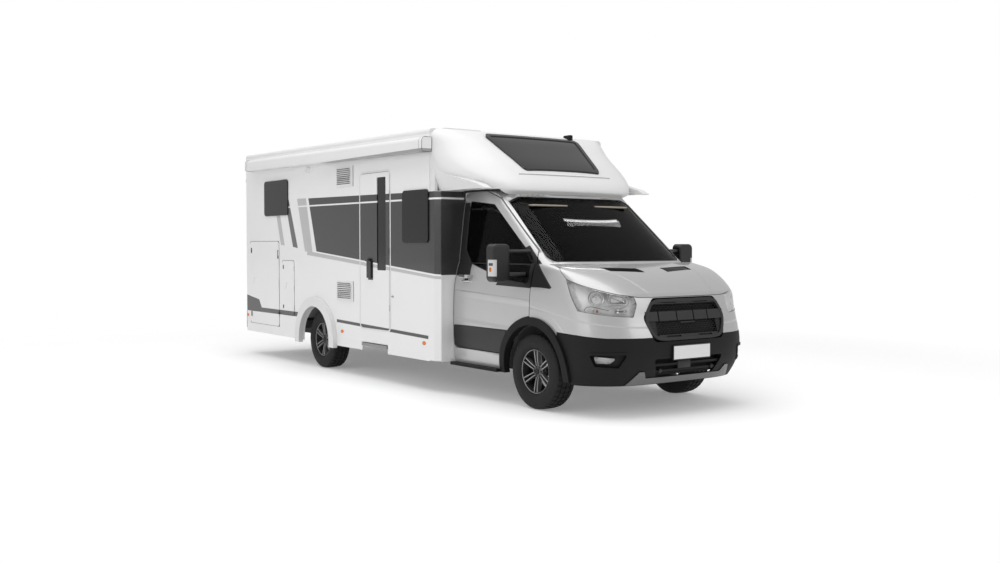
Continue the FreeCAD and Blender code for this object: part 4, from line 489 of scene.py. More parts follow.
def settled(piece):
    """Puts a piece's place, turn and scale into its mesh."""
    picked(piece)
    bpy.ops.object.transform_apply(location=True, rotation=True, scale=True)
    return piece


def edit_all(kind="VERT"):
    """Goes into edit mode with all of the active piece selected, in one select mode."""
    bpy.ops.object.mode_set(mode="EDIT")
    bpy.ops.mesh.select_mode(type=kind)
    bpy.ops.mesh.select_all(action="SELECT")


def leave_edit():
    """Goes back to object mode."""
    bpy.ops.object.mode_set(mode="OBJECT")


def sunk(depth):
    """Extrudes the selected faces and sinks them by a depth."""
    bpy.ops.mesh.extrude_region_shrink_fatten(TRANSFORM_OT_shrink_fatten={"value": -depth})
    leave_edit()


def line_through(corners):
    """An open line of edges from corner to corner, left in edit mode and all selected."""
    piece = start("plane", size=0.01)
    edit_all()
    bpy.ops.mesh.merge(type="CENTER")
    bpy.ops.transform.translate(value=corners[0])
    for here, there in zip(corners, corners[1:]):
        bpy.ops.mesh.extrude_region_move(TRANSFORM_OT_translate={"value": Vector(there) - Vector(here)})
    bpy.ops.mesh.select_all(action="SELECT")
    return piece


def turned(section, axis, steps):
    """A turned piece: a section of radii and heights, spun about an axis and closed."""
    if axis == "Y":
        piece = line_through([(0, height, radius) for radius, height in section])
    else:
        piece = line_through([(radius, 0, height) for radius, height in section])
    bpy.ops.mesh.spin(steps=steps, angle=math.tau, center=(0, 0, 0), axis=(0, axis == "Y", axis == "Z"))
    bpy.ops.mesh.select_all(action="SELECT")
    bpy.ops.mesh.remove_doubles(threshold=0.00005)
    bpy.ops.mesh.normals_make_consistent(inside=False)
    leave_edit()
    return piece


def handed_over(piece, name, material, body, smooth=35):
    """Puts a piece's place into its mesh, names and finishes it, and gives it to its body."""
    settled(piece)
    bpy.ops.object.shade_smooth_by_angle(angle=math.radians(smooth))
    piece.name = name
    piece.data.materials.clear()
    piece.data.materials.append(material)
    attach(piece, body)
    return piece


def faces_where(piece, test):
    """Selects the faces whose centre and normal pass a test, in edit mode."""
    bpy.context.view_layer.objects.active = piece
    edit_all("FACE")
    bpy.ops.mesh.select_all(action="DESELECT")
    leave_edit()
    for face in piece.data.polygons:
        face.select = bool(test(face.center, face.normal))
    bpy.ops.object.mode_set(mode="EDIT")


def copied(piece, name):
    """A copy of a piece with a mesh of its own."""
    copy = piece.copy()
    copy.data = piece.data.copy()
    copy.name = name
    bpy.context.collection.objects.link(copy)
    return copy


# Radius and distance from the tyre's middle, over one half of the section, from the bead out.
TYRE_SECTION = [(0.204, 0.086), (0.212, 0.098), (0.222, 0.106), (0.236, 0.1125), (0.250, 0.1160),
                (0.262, 0.1172), (0.266, 0.1160), (0.276, 0.1168), (0.292, 0.1150), (0.296, 0.1132),
                (0.310, 0.1120), (0.326, 0.1060), (0.338, 0.0985), (0.344, 0.0900), (0.347, 0.0620),
                (0.3475, 0.0600), (0.3395, 0.0560), (0.3395, 0.0500), (0.3485, 0.0460), (0.3495, 0.0080),
                (0.3405, 0.0050)]
CORNERS = ("front_right", "front_left", "rear_right", "rear_left")
tread_steps = 120
tread_from, middle_groove, rib_side, slot_depth = 0.334, 0.012, 0.05, 0.0055
tyre_half_section = [(radius, -side) for radius, side in TYRE_SECTION]
tyre = turned(tyre_half_section + TYRE_SECTION[::-1], "Y", tread_steps)


def shoulder_slot(centre, normal):
    """Every third column of the shoulder and of the two tread ribs, as the moulded slots lie."""
    radius = math.hypot(centre.x, centre.z)
    column = round(math.atan2(centre.z, centre.x) / (math.tau / tread_steps) - 0.5)
    offset = 1 if abs(centre.y) < rib_side else 0
    on_tread = radius > tread_from and abs(centre.y) > middle_groove and abs(normal.y) < 0.75
    return on_tread and (column + offset) % 3 == 0


faces_where(tyre, shoulder_slot)
sunk(slot_depth)
rubber = finish("tyre_rubber", 11, 0.76, 260.0, 0.0005, change=0.2)
for corner in CORNERS:
    low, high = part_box(f"tyre_{corner}")
    mounted = copied(tyre, f"moulded_tyre_{corner}")
    mounted.location = (low + high) / 2
    handed_over(mounted, f"moulded_tyre_{corner}", rubber, f"wheel_{corner}", smooth=28)
    dress(rubber, f"tyre_{corner}")
    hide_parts(f"tyre_{corner}")
bpy.data.objects.remove(tyre)

# Wheels: cast alloy with six pairs of slim spokes from a small hub to the rim. The lip and
# the spokes' faces are left bright grey, and the well behind is near black: painted shade
# for the deep inside of the wheel behind the spokes.
rim_half = 0.095
lip_radius = 0.2025
spoke_pairs, spoke_inner, spoke_outer = 6, 0.050, 0.190
spoke_width, spoke_flare = 0.0125, 0.0035
spoke_spread, spoke_parting = 0.014, 0.008
spoke_depth, hub_depth, face_depth = 0.040, 0.012, 0.020
nut_circle, nut_radius, nut_length = 0.046, 0.0095, 0.020
WELL_SECTION = [(lip_radius - 0.004, -rim_half + 0.002), (lip_radius, -rim_half),
                (lip_radius, rim_half - 0.004), (lip_radius - 0.020, rim_half - 0.004),
                (0.176, 0.060), (0.172, 0.0), (0.180, -0.045), (0.190, -0.070),
                (lip_radius - 0.010, -rim_half + 0.012), (lip_radius - 0.004, -rim_half + 0.002)]
LIP_SECTION = [(0.1945, -rim_half + 0.013), (0.1955, -rim_half + 0.003), (0.1990, -rim_half + 0.0005),
               (0.2022, -rim_half + 0.001), (0.2028, -rim_half + 0.004), (0.2028, -rim_half + 0.013),
               (0.1945, -rim_half + 0.013)]
HUB_SECTION = [(0, -0.078), (0.022, -0.0775), (0.027, -0.074), (0.030, -0.068), (0.034, -0.067),
               (0.058, -0.063), (0.064, -0.056), (0.066, -0.010), (0.030, 0.0), (0, 0.0)]


def spoke(side):
    """One slim spoke of a pair: a tapering bar that dips from the lip to the hub."""
    bar = start("cube", size=1)
    edit_all()
    bpy.ops.mesh.subdivide(number_cuts=3)
    leave_edit()
    for vertex in bar.data.vertices:
        along = vertex.co.z + 0.5
        reach = spoke_inner + (spoke_outer - spoke_inner) * along
        width = spoke_width + spoke_flare * along
        spread = side * (spoke_spread + spoke_parting * along)
        front = -rim_half + 0.006 + face_depth * (1 - along) ** 1.6
        depth = spoke_depth + hub_depth * (1 - along)
        crown = 1 - 0.25 * (0.5 - vertex.co.y)
        vertex.co = (spread + vertex.co.x * width * crown, front + (vertex.co.y + 0.5) * depth, reach)
    edit_all()
    bpy.ops.mesh.bevel(offset=0.0014, segments=2, affect="EDGES", clamp_overlap=True)
    leave_edit()
    return bar


def joined_into(first, *others):
    """Joins pieces into the first."""
    bpy.ops.object.select_all(action="DESELECT")
    for piece in (first, *others):
        piece.select_set(True)
    bpy.context.view_layer.objects.active = first
    bpy.ops.object.join()
    return first


def rounded_edges(piece, width, segments=2):
    """Rounds all edges of a closed piece."""
    edit_all()
    bpy.ops.mesh.bevel(offset=width, segments=segments, affect="EDGES")
    leave_edit()
    return piece


well = turned(WELL_SECTION, "Y", 96)
lip = turned(LIP_SECTION, "Y", 96)
pair = joined_into(spoke(-1), spoke(1))
spokes = [pair]
for k in range(1, spoke_pairs):
    spokes.append(copied(pair, f"spoke_pair_{k}"))
    spokes[k].rotation_euler = (0, math.tau * k / spoke_pairs, 0)
hub = turned(HUB_SECTION, "Y", 48)
nuts = []
for k in range(spoke_pairs):
    angle = math.tau * (k + 0.5) / spoke_pairs
    nut_place = (nut_circle * math.sin(angle), -0.068, nut_circle * math.cos(angle))
    nut = start("cylinder", vertices=6, radius=nut_radius, depth=nut_length, rotation=(math.pi / 2, 0, 0),
                location=nut_place)
    nuts.append(rounded_edges(nut, 0.0022))
faces = joined_into(lip, *spokes)
middle = joined_into(hub, *nuts)

lip_alloy = finish("spoke_alloy", 150, 0.34, 700.0, 0.00006, metallic=0.75, coat=0.3, change=0.1)
# The well's near black is painted shade, for the dark inside of the wheel.
well_painted_shade = finish("well_painted_shade_black", 22, 0.55, 300.0, 0.0001, metallic=0.2, change=0.2)
hub_paint = finish("hub_grey", 96, 0.42, 500.0, 0.0001, metallic=0.6, coat=0.2, change=0.12)
WHEEL_PARTS = {"wheel_spokes": (faces, lip_alloy), "wheel_well": (well, well_painted_shade),
               "wheel_hub": (middle, hub_paint)}
for corner in CORNERS:
    low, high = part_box(f"rim_{corner}")
    for name, (source, paint) in WHEEL_PARTS.items():
        made = copied(source, f"{name}_{corner}")
        made.rotation_euler = (0, 0, 0 if corner.endswith("right") else math.pi)
        made.location = (low + high) / 2
        handed_over(made, f"{name}_{corner}", paint, f"wheel_{corner}")
        if name == "wheel_well":
            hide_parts(f"rim_{corner}")
    dress(lip_alloy, f"rim_{corner}")
for source, paint in WHEEL_PARTS.values():
    bpy.data.objects.remove(source)

# Headlamps and fog lamps: a clear moulded cover over a bright housing. Each headlamp holds
# a ribbed main dish, a second dish behind a fin, chrome trim and an indicator at its foot.
cover_wall, lamp_gap_line = 0.003, 0.0022
dish_radius, dish_depth, dish_ribs, rib_depth = 0.066, 0.050, 48, 0.0035
dish_centre, dish_aim = (3.352, -0.852, 1.046), (0.74, -0.66, 0.10)
second_centre, second_aim = (3.474, -0.708, 1.036), (0.90, -0.40, 0.16)
second_half, second_depth = (0.076, 0.042), 0.030
low_dish_centre = (3.493, -0.690, 0.932)
low_dish_half, low_dish_depth, low_dish_rows = (0.056, 0.020), 0.018, 3
fin_radius, trim_radius, foot_radius = 0.0045, 0.0042, 0.0026
DISH_SECTION = [(0.012, -dish_depth), (0.030, -dish_depth * 0.86), (0.046, -dish_depth * 0.60),
                (0.058, -dish_depth * 0.28), (dish_radius, 0.0), (dish_radius + 0.003, 0.001),
                (dish_radius + 0.003, -0.006)]
BULB_SECTION = [(0, 0.004), (0.006, 0.002), (0.009, -0.006), (0.009, -0.040), (0.012, -0.046), (0, -0.046)]
TRIM_LINE = [(3.408, -0.820, 0.980), (3.456, -0.765, 0.958), (3.494, -0.694, 0.966), (3.514, -0.642, 0.968),
             (3.514, -0.606, 1.010), (3.492, -0.622, 1.062)]
FOOT_LINE = [(3.286, -0.925, 0.940), (3.290, -0.922, 0.964), (3.334, -0.890, 0.978), (3.382, -0.852, 0.960),
             (3.446, -0.784, 0.942)]
FIN_LINE = [(3.398, -0.770, 1.098), (3.436, -0.776, 1.030), (3.450, -0.774, 0.962)]


def clear_glass(name, shade, clearness, roughness):
    """Glass seen through more squarely than along it: its gloss grows towards its edges."""
    made = finish(name, shade, roughness, 40.0, 0.00004, change=0.06)
    tree, shading = shading_of(made)
    gloss = node(tree, "ShaderNodeLayerWeight", {"Blend": 0.28})
    solid = node(tree, "ShaderNodeMapRange", {"Value": gloss.outputs["Fresnel"], "From Min": 0.05,
                                              "From Max": 0.75, "To Min": 1 - clearness, "To Max": 1.0})
    tree.links.new(solid.outputs[0], shading["Alpha"])
    return made


def worked_copy(node_name, name):
    """A merged copy of a CAD node to work on; the node itself is left as it is."""
    piece = picked(copied(nodes[node_name], name))
    bpy.ops.object.parent_clear(type="CLEAR_KEEP_TRANSFORM")
    settled(piece)
    edit_all()
    bpy.ops.mesh.remove_doubles(threshold=0.00002)
    leave_edit()
    return piece


def kept(piece, test):
    """Deletes the faces of a piece that fail a test on their centre and normal."""
    faces_where(piece, lambda centre, normal: not test(centre, normal))
    bpy.ops.mesh.delete(type="FACE")
    leave_edit()
    return piece


def with_modifier(piece, kind, **settings):
    """Adds one modifier and applies it."""
    modifier = picked(piece).modifiers.new(kind.lower(), kind)
    for key, value in settings.items():
        setattr(modifier, key, value)
    bpy.ops.object.modifier_apply(modifier=modifier.name)
    return piece


def as_tube(piece, radius, resolution=2):
    """Turns a piece's edges into a round tube."""
    picked(piece)
    bpy.ops.object.convert(target="CURVE")
    curve = bpy.context.object.data
    curve.bevel_depth = radius
    curve.bevel_resolution = resolution
    curve.use_fill_caps = True
    bpy.ops.object.convert(target="MESH")
    return bpy.context.object


def tube_through(corners, radius, resolution=2, rounds=2):
    """A round bar along a line through corners, which is smoothed by subdivision."""
    piece = line_through(corners)
    leave_edit()
    with_modifier(piece, "SUBSURF", levels=rounds, render_levels=rounds)
    return as_tube(piece, radius, resolution)


def rim_of(piece, radius):
    """A thin bead along the open edges of a shell."""
    edging = picked(copied(piece, piece.name + "_edge"))
    edit_all("EDGE")
    bpy.ops.mesh.select_all(action="DESELECT")
    bpy.ops.mesh.select_non_manifold(extend=False)
    bpy.ops.mesh.select_all(action="INVERT")
    bpy.ops.mesh.delete(type="EDGE")
    bpy.ops.mesh.select_all(action="SELECT")
    bpy.ops.mesh.delete(type="ONLY_FACE")
    leave_edit()
    return as_tube(edging, radius)


def aimed(piece, place, aim):
    """Turns a piece that looks up its own Z so that it looks along an aim, at a place."""
    piece.rotation_euler = Vector(aim).to_track_quat("Z", "Y").to_euler()
    piece.location = place
    return settled(piece)


def turned_out(piece):
    """Turns the faces of a piece over."""
    picked(piece)
    edit_all()
    bpy.ops.mesh.flip_normals()
    leave_edit()
    return piece


def other_side(piece, name):
    """The same piece mirrored to the vehicle's left."""
    made = copied(piece, name)
    made.scale = (1, -1, 1)
    return turned_out(settled(made))


def both_sides(piece, name, material, body, smooth=35):
    """Hands over a piece on the vehicle's right, and its mirrored copy on the left."""
    left = handed_over(other_side(piece, name + "_left"), name + "_left", material,
                       body.replace("right", "left"), smooth)
    return left, handed_over(piece, name + "_right", material, body, smooth)


def on_cover(centre, normal):
    """Whether a lamp's face looks out of the body, as its cover does."""
    lamp_aim = Vector((0.62, math.copysign(0.75, centre.y), 0.2)).normalized()
    return normal.dot(lamp_aim) > 0.5


def sized(kind, halves, **settings):
    """A primitive of unit size, scaled in its mesh."""
    piece = start(kind, **settings)
    piece.scale = halves
    bpy.ops.object.transform_apply(location=False, rotation=False, scale=True)
    return piece


def bowl(halves, depth, rows):
    """A shallow moulded dish: a rounded plate whose middle is pushed in, step by step."""
    piece = sized("circle", (*halves, 1), vertices=32, radius=1, fill_type="NGON")
    edit_all("FACE")
    for row in range(rows):
        bpy.ops.mesh.inset(thickness=halves[1] / (rows + 1), depth=-depth / rows * (1 - row / (rows + 1)))
    leave_edit()
    return piece


def box_dish(halves, depth):
    """A dish with a squared mouth, stepped down to a flat back."""
    piece = sized("plane", (*halves, 1), size=2)
    edit_all()
    bpy.ops.mesh.bevel(offset=halves[1] * 0.35, segments=4, affect="VERTICES")
    bpy.ops.mesh.select_mode(type="FACE")
    bpy.ops.mesh.select_all(action="SELECT")
    for thickness, sink in ((0.004, 0.0), (halves[1] * 0.12, depth * 0.6), (halves[1] * 0.30, depth * 0.4)):
        bpy.ops.mesh.inset(thickness=thickness, depth=-sink)
    leave_edit()
    return piece


def small_bulb(radius, place, taller):
    """A glass bulb, a little taller than it is wide."""
    piece = start("uv_sphere", segments=20, ring_count=12, radius=radius, location=place)
    edit_all()
    bpy.ops.transform.resize(value=(1.0, 1.0, taller))
    leave_edit()
    return piece


cover = kept(worked_copy("front_lamps", "lamp_covers"), on_cover)
housing = turned_out(kept(worked_copy("front_lamps", "lamp_housings"), lambda c, n: not on_cover(c, n)))
lamp_edges = rim_of(cover, lamp_gap_line)
with_modifier(cover, "SOLIDIFY", thickness=cover_wall, offset=-1.0)
ribbed = turned(DISH_SECTION, "Z", dish_ribs * 2)
for vertex in ribbed.data.vertices:
    radius = math.hypot(vertex.co.x, vertex.co.y)
    column = round(math.atan2(vertex.co.y, vertex.co.x) / (math.tau / (dish_ribs * 2)))
    if column % 2 and 0.02 < radius < dish_radius:
        vertex.co.z -= rib_depth
ribbed = aimed(joined_into(ribbed, turned(BULB_SECTION, "Z", 20)), dish_centre, dish_aim)
squared = aimed(box_dish(second_half, second_depth), second_centre, second_aim)
shallow = aimed(bowl(low_dish_half, low_dish_depth, low_dish_rows), low_dish_centre, second_aim)

clear_cover = clear_glass("lamp_cover", 240, 0.93, 0.02)
bright_housing = finish("lamp_housing", 244, 0.34, 60.0, 0.0004, metallic=0.10, change=0.12)
chrome = finish("lamp_chrome", 226, 0.10, 60.0, 0.0002, metallic=1.0, change=0.10)
dark_line = finish("dark_gap", 30, 0.6, 300.0, 0.0001, change=0.1)
amber = finish("amber_lens", (206, 104, 40), 0.18, 300.0, 0.0003, coat=0.5, change=0.15)
LAMP_PARTS = {
    "main_dish": (ribbed, chrome), "second_dish": (squared, chrome), "low_dish": (shallow, chrome),
    "lamp_fin": (tube_through(FIN_LINE, fin_radius), chrome),
    "lamp_trim": (tube_through(TRIM_LINE, trim_radius), chrome),
    "lamp_foot_line": (tube_through(FOOT_LINE, foot_radius), dark_line),
    "side_bulb": (small_bulb(0.010, (3.350, -0.880, 0.937), 1.25), chrome),
    "indicator_bulb": (small_bulb(0.0115, (3.380, -0.862, 0.935), 1.2), amber)}
handed_over(cover, "lamp_covers", clear_cover, "coach")
handed_over(housing, "lamp_housings", bright_housing, "coach")
handed_over(lamp_edges, "lamp_seals", dark_line, "coach")
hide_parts("front_lamps")
dress(clear_cover, "front_lamps")
for name, (piece, paint) in LAMP_PARTS.items():
    both_sides(piece, name, paint, "coach")

# Cab glass: laminated screen and toughened door panes, lightly tinted, bedded in a bead of
# black rubber that runs round the outer edge of each pane.
seal_bead = 0.007
CAB_PANES = {"windscreen": "coach", "cab_door_glass_right": "cab_door_right",
             "cab_door_glass_left": "cab_door_left"}
dress(clear_glass("cab_glass", 14, 0.84, 0.02), *CAB_PANES)
rubber_seal = finish("seal_rubber", 16, 0.55, 500.0, 0.0001, change=0.15)


def seen_face(centre, normal):
    """The outer face of a cab pane, ahead or at the side."""
    at_side = Vector((0.35, math.copysign(0.9, centre.y), 0.25))
    aim = at_side if abs(centre.y) > 0.86 else Vector((0.7, 0, 0.7))
    return normal.dot(aim.normalized()) > 0.35


for pane, body in CAB_PANES.items():
    face = kept(worked_copy(pane, pane + "_face"), seen_face)
    bead = rim_of(face, seal_bead)
    bpy.data.objects.remove(face)
    handed_over(bead, pane + "_seal", rubber_seal, body)

# Cab shell and lining: the silver outer pressings, and inside them a grey moulded lining
# that also makes the floor, bulkhead and wheel arches. It opens at the screen and doors.
SCREEN_OPENING = [(1.99, 1.355), (1.99, 1.895), (2.10, 1.895), (2.95, 1.355)]
DOOR_OPENING = [(1.475, 1.200), (1.475, 1.860), (1.930, 1.860), (2.400, 1.420), (2.470, 1.200)]
screen_half, past_doors = 0.66, 1.2


def opened(piece, corners, side):
    """Cuts a prism with an outline in side view out of a piece, across to a distance each side."""
    cutter = line_through([(x, -side, z) for x, z in corners])
    bpy.ops.mesh.edge_face_add()
    bpy.ops.mesh.extrude_region_move(TRANSFORM_OT_translate={"value": (0, side * 2, 0)})
    bpy.ops.mesh.select_all(action="SELECT")
    bpy.ops.mesh.normals_make_consistent(inside=False)
    leave_edit()
    with_modifier(piece, "BOOLEAN", operation="DIFFERENCE", object=cutter, solver="EXACT")
    bpy.data.objects.remove(cutter)
    return piece


def loose_parts(node_name, name):
    """The separate solids of a CAD node, as merged copies."""
    worked_copy(node_name, name)
    edit_all()
    bpy.ops.mesh.separate(type="LOOSE")
    leave_edit()
    return [piece for piece in bpy.context.selected_objects if piece.type == "MESH"]


lining_grey = finish("cab_lining", 66, 0.75, 500.0, 0.0003, change=0.1)
shells = sorted(loose_parts("cab_body", "cab_shell"), key=lambda piece: len(piece.data.polygons))
lining = opened(opened(shells.pop(), SCREEN_OPENING, screen_half), DOOR_OPENING, past_doors)
handed_over(lining, "cab_lining", lining_grey, "coach")
shell = joined_into(*shells)
handed_over(shell, "cab_shell", silver, "coach")
for piece in (shell, lining):
    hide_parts("cab_body")

# Cab seats: foam on a frame, covered in woven cloth. The middle of each back and cushion is
# dark, the side bolsters and the head rest are beige, with a sewn seam between the two.
seam_out, seam_width, seam_depth = 0.118, 0.004, 6.0
seat_side = 0.45
voxel = 0.008
pad_pressure = 4.0
pad_swell = 0.024
pad_shrink = 0.965
swell_steps = 20
thread_count, thread_wander, thread_height = 190.0, 0.6, 0.0007
BEIGE_DARK, BEIGE_PALE, PANEL_BROWN = (150, 128, 108), (176, 152, 130), (52, 48, 46)
PAD_NAMES = ("cushion", "back_pad", "head_rest")
weave = effect_group("weave", {"Threads": "Float"}, {"Height": "Float", "Tone": "Float"})
spot = own_place(weave)
thread_inputs = {"Vector": spot, "Scale": node(weave, "NodeGroupInput").outputs["Threads"],
                 "Distortion": thread_wander}
across, up = (node(weave, "ShaderNodeTexWave", thread_inputs, bands_direction=way).outputs["Fac"]
              for way in "YZ")
blotch = node(weave, "ShaderNodeTexNoise", {"Vector": spot, "Scale": 9.0, "Detail": 5.0})
node(weave, "NodeGroupOutput", {"Height": times(weave, across, up), "Tone": blotch.outputs["Fac"]})


def seat_cloth(name, has_middle):
    """Woven cloth, beige, with a dark middle panel between two sewn seams where it has one."""
    made = bpy.data.materials.new(name)
    tree, shading = shading_of(made)
    threads = node(tree, "ShaderNodeGroup", node_tree=weave)
    threads.inputs["Threads"].default_value = thread_count
    colour = mixed(tree, threads.outputs["Tone"], linear(BEIGE_DARK), linear(BEIGE_PALE))
    height = threads.outputs["Height"]
    if has_middle:
        off = plain_size(tree, less(tree, plain_size(tree, own_axes(tree)["Y"]), seat_side))
        colour = mixed(tree, sum_of(tree, "LESS_THAN", off, seam_out), colour, linear(PANEL_BROWN))
        from_seam = plain_size(tree, less(tree, off, seam_out))
        seam = node(tree, "ShaderNodeMapRange", {"Value": from_seam, "From Min": 0.0, "From Max": seam_width,
                                                 "To Min": -seam_depth, "To Max": 0.0})
        height = plus(tree, height, seam.outputs[0])
    bump = node(tree, "ShaderNodeBump", {"Height": height, "Distance": thread_height, "Strength": 1.0})
    tree.links.new(colour, shading["Base Color"])
    tree.links.new(bump.outputs["Normal"], shading["Normal"])
    shading["Roughness"].default_value = 0.9
    shading["Sheen Weight"].default_value = 0.3
    return made


def stuffed(piece):
    """Swells a pad from its plain solid: remeshed, blown up as cloth, and held to a limit."""
    with_modifier(piece, "REMESH", mode="VOXEL", voxel_size=voxel)
    middle = sum((v.co for v in piece.data.vertices), Vector()) / len(piece.data.vertices)
    for vertex in piece.data.vertices:
        vertex.co = middle + (vertex.co - middle) * pad_shrink
    rest = [v.co.copy() for v in piece.data.vertices]
    cloth = piece.modifiers.new("stuffing", "CLOTH")
    cloth.settings.use_pressure = True
    cloth.settings.uniform_pressure_force = pad_pressure
    cloth.settings.effector_weights.gravity = 0
    for step in range(1, swell_steps + 1):
        bpy.context.scene.frame_set(step)
    bpy.ops.object.modifier_apply(modifier="stuffing")
    bpy.context.scene.frame_set(1)
    for vertex, start_place in zip(piece.data.vertices, rest):
        moved = vertex.co - start_place
        if moved.length > pad_swell:
            vertex.co = start_place + moved.normalized() * pad_swell
    return with_modifier(piece, "SUBSURF", levels=1, render_levels=1)


def box_sum(piece):
    """The sum of the corners of a piece's box, which tells its side and height."""
    return sum((Vector(corner) for corner in piece.bound_box), Vector())


panelled_cloth, plain_cloth = seat_cloth("seat_cloth", True), seat_cloth("rest_cloth", False)
dress(panelled_cloth, "seat_pads")
right_pads = []
for piece in loose_parts("seat_pads", "seat_pad"):
    if box_sum(piece).y < 0:
        right_pads.append(piece)
    else:
        bpy.data.objects.remove(piece)
for piece, name in zip(sorted(right_pads, key=lambda piece: box_sum(piece).z), PAD_NAMES):
    cloth_used = plain_cloth if name == "head_rest" else panelled_cloth
    for pad in both_sides(stuffed(piece), name, cloth_used, "coach", smooth=80):
        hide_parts("seat_pads")

# Grille: a moulded black frame with slots at its head and foot, a blank bar across the
# middle in five blocks, hexagon mesh above and below it, and a column of holes each side.
GRILLE_OUTLINE = [(0.340, 1.034), (0.418, 1.010), (0.470, 0.935), (0.498, 0.860), (0.478, 0.780),
                  (0.440, 0.715), (0.390, 0.682), (0.300, 0.672)]
BAR_BLOCKS = [(-0.488, -0.350), (-0.338, -0.130), (-0.118, 0.080), (0.092, 0.262), (0.274, 0.488)]
BAR_HEIGHT = (0.842, 0.926)
RAIL_SLOTS = [(-0.300, -0.110), (0.110, 0.300)]
grille_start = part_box("grille")[1].x + 0.2
frame_width, frame_wall, frame_corner = 0.030, 0.034, 0.022
ring_stand, bar_stand, rail_stand, column_stand, mesh_stand, cooler_stand = (-0.002, -0.006, -0.008, -0.018,
                                                                             -0.022, -0.052)
rail_half, rail_heights, rail_depth = 0.37, ((0.988, 1.020), (0.690, 0.722)), 0.016
column_side, column_half, column_heights, hole_depth = 0.412, 0.034, (0.722, 0.842), 0.008
mesh_columns, mesh_rows, mesh_wire = 46, 17, 0.0042
mesh_half, mesh_low, mesh_high = 0.47, 0.700, 1.000
mesh_reach, mesh_middle, mesh_taper, corner_shift = 0.488, 0.86, 0.55, 0.16
cooler_half, cooler_low, cooler_high = 0.46, 0.69, 1.01
cooler_fold, cooler_pitch = 0.004, 0.0106
bar_wall, lip_wall, block_edge, lip_edge, ring_edge = 0.024, 0.012, 0.003, 0.002, 0.004
lip_sides, lip_heights, hole_rim = (-0.09, 0.09), (0.818, 0.830), 0.0028
nose_front, nose_top, nose_foot = 3.585, 1.03, 0.70
nose_lean, nose_swell, nose_curve = 0.235, 0.20, 0.16


def nose_level(side, up):
    """How far ahead the nose's moulded face stands, across and up the grille, in metres."""
    below = nose_top - up
    middle = nose_front + nose_lean * below - nose_swell * (up - nose_foot) * below
    return middle - nose_curve * abs(side) ** 3


def laid_on(piece, stand):
    """Presses a flat piece back along the vehicle onto the nose, and stands it off by a little."""
    for vertex in piece.data.vertices:
        vertex.co.x = nose_level(vertex.co.y, vertex.co.z) + stand
    return piece


def front_patch(sides, heights, columns, rows):
    """A flat patch of faces that looks ahead, over a span of sides and heights."""
    piece = start("grid", x_subdivisions=rows, y_subdivisions=columns, size=1, rotation=(0, math.pi / 2, 0),
                  location=(grille_start, sum(sides) / 2, sum(heights) / 2))
    piece.scale = (heights[1] - heights[0], sides[1] - sides[0], 1)
    return settled(piece)


def front_block(sides, heights, wall, edge, columns=14, rows=3):
    """A raised block moulded over the nose: a patch laid on it and given a wall."""
    piece = laid_on(front_patch(sides, heights, columns, rows), bar_stand)
    with_modifier(piece, "SOLIDIFY", thickness=wall, offset=-1.0)
    return with_modifier(piece, "BEVEL", width=edge, segments=2, limit_method="ANGLE")


corners = [(grille_start, side, up) for side, up in GRILLE_OUTLINE]
corners += [(x, -side, up) for x, side, up in reversed(corners)]
ring = line_through(corners)
bpy.ops.mesh.edge_face_add()
bpy.ops.mesh.bevel(offset=frame_corner, segments=3, affect="VERTICES", clamp_overlap=True)
bpy.ops.mesh.select_mode(type="FACE")
bpy.ops.mesh.select_all(action="SELECT")
for half_width in range(2):
    bpy.ops.mesh.inset(thickness=frame_width * 0.5, depth=0)
bpy.ops.mesh.delete(type="FACE")
bpy.ops.mesh.select_all(action="SELECT")
bpy.ops.mesh.subdivide(number_cuts=2)
leave_edit()
laid_on(ring, ring_stand)
with_modifier(ring, "SOLIDIFY", thickness=frame_wall, offset=-1.0)
with_modifier(ring, "BEVEL", width=ring_edge, segments=2, limit_method="ANGLE", angle_limit=math.radians(50))
bars = [front_block(sides, BAR_HEIGHT, bar_wall, block_edge) for sides in BAR_BLOCKS]
bars.append(front_block(lip_sides, lip_heights, lip_wall, lip_edge, 8, 1))
for low_z, high_z in rail_heights:
    rail = laid_on(front_patch((-rail_half, rail_half), (low_z, high_z), 37, 4), rail_stand)
    slot_z, slot_half = (low_z + high_z) / 2, (high_z - low_z) * 0.3
    faces_where(rail, lambda centre, normal: abs(centre.z - slot_z) < slot_half
                and any(low < centre.y < high for low, high in RAIL_SLOTS))
    sunk(rail_depth)
    bars.append(rail)
for side in (-column_side, column_side):
    column = front_patch((side - column_half, side + column_half), column_heights, 6, 9)
    faces_where(laid_on(column, column_stand), lambda centre, normal: True)
    bpy.ops.mesh.inset(thickness=hole_rim, use_individual=True)
    sunk(hole_depth)
    bars.append(column)
grille_work = joined_into(ring, *bars)

# The mesh starts as a grid: every second upright is taken out, and the corners are shifted
# up and down by turns, which leaves hexagons between the wires.
mesh_panel = front_patch((-mesh_half, mesh_half), (mesh_low, mesh_high), mesh_columns, mesh_rows)
step_across, step_up = mesh_half * 2 / mesh_columns, (mesh_high - mesh_low) / mesh_rows


def cell_of(vertex):
    """The column and row of a vertex of the mesh panel."""
    return round((vertex.co.y + mesh_half) / step_across), round((vertex.co.z - mesh_low) / step_up)


def in_mesh(centre, normal):
    """Whether a cell lies inside the frame and off the bar."""
    off_bar = not BAR_HEIGHT[0] < centre.z < BAR_HEIGHT[1]
    return off_bar and abs(centre.y) < mesh_reach - abs(centre.z - mesh_middle) * mesh_taper


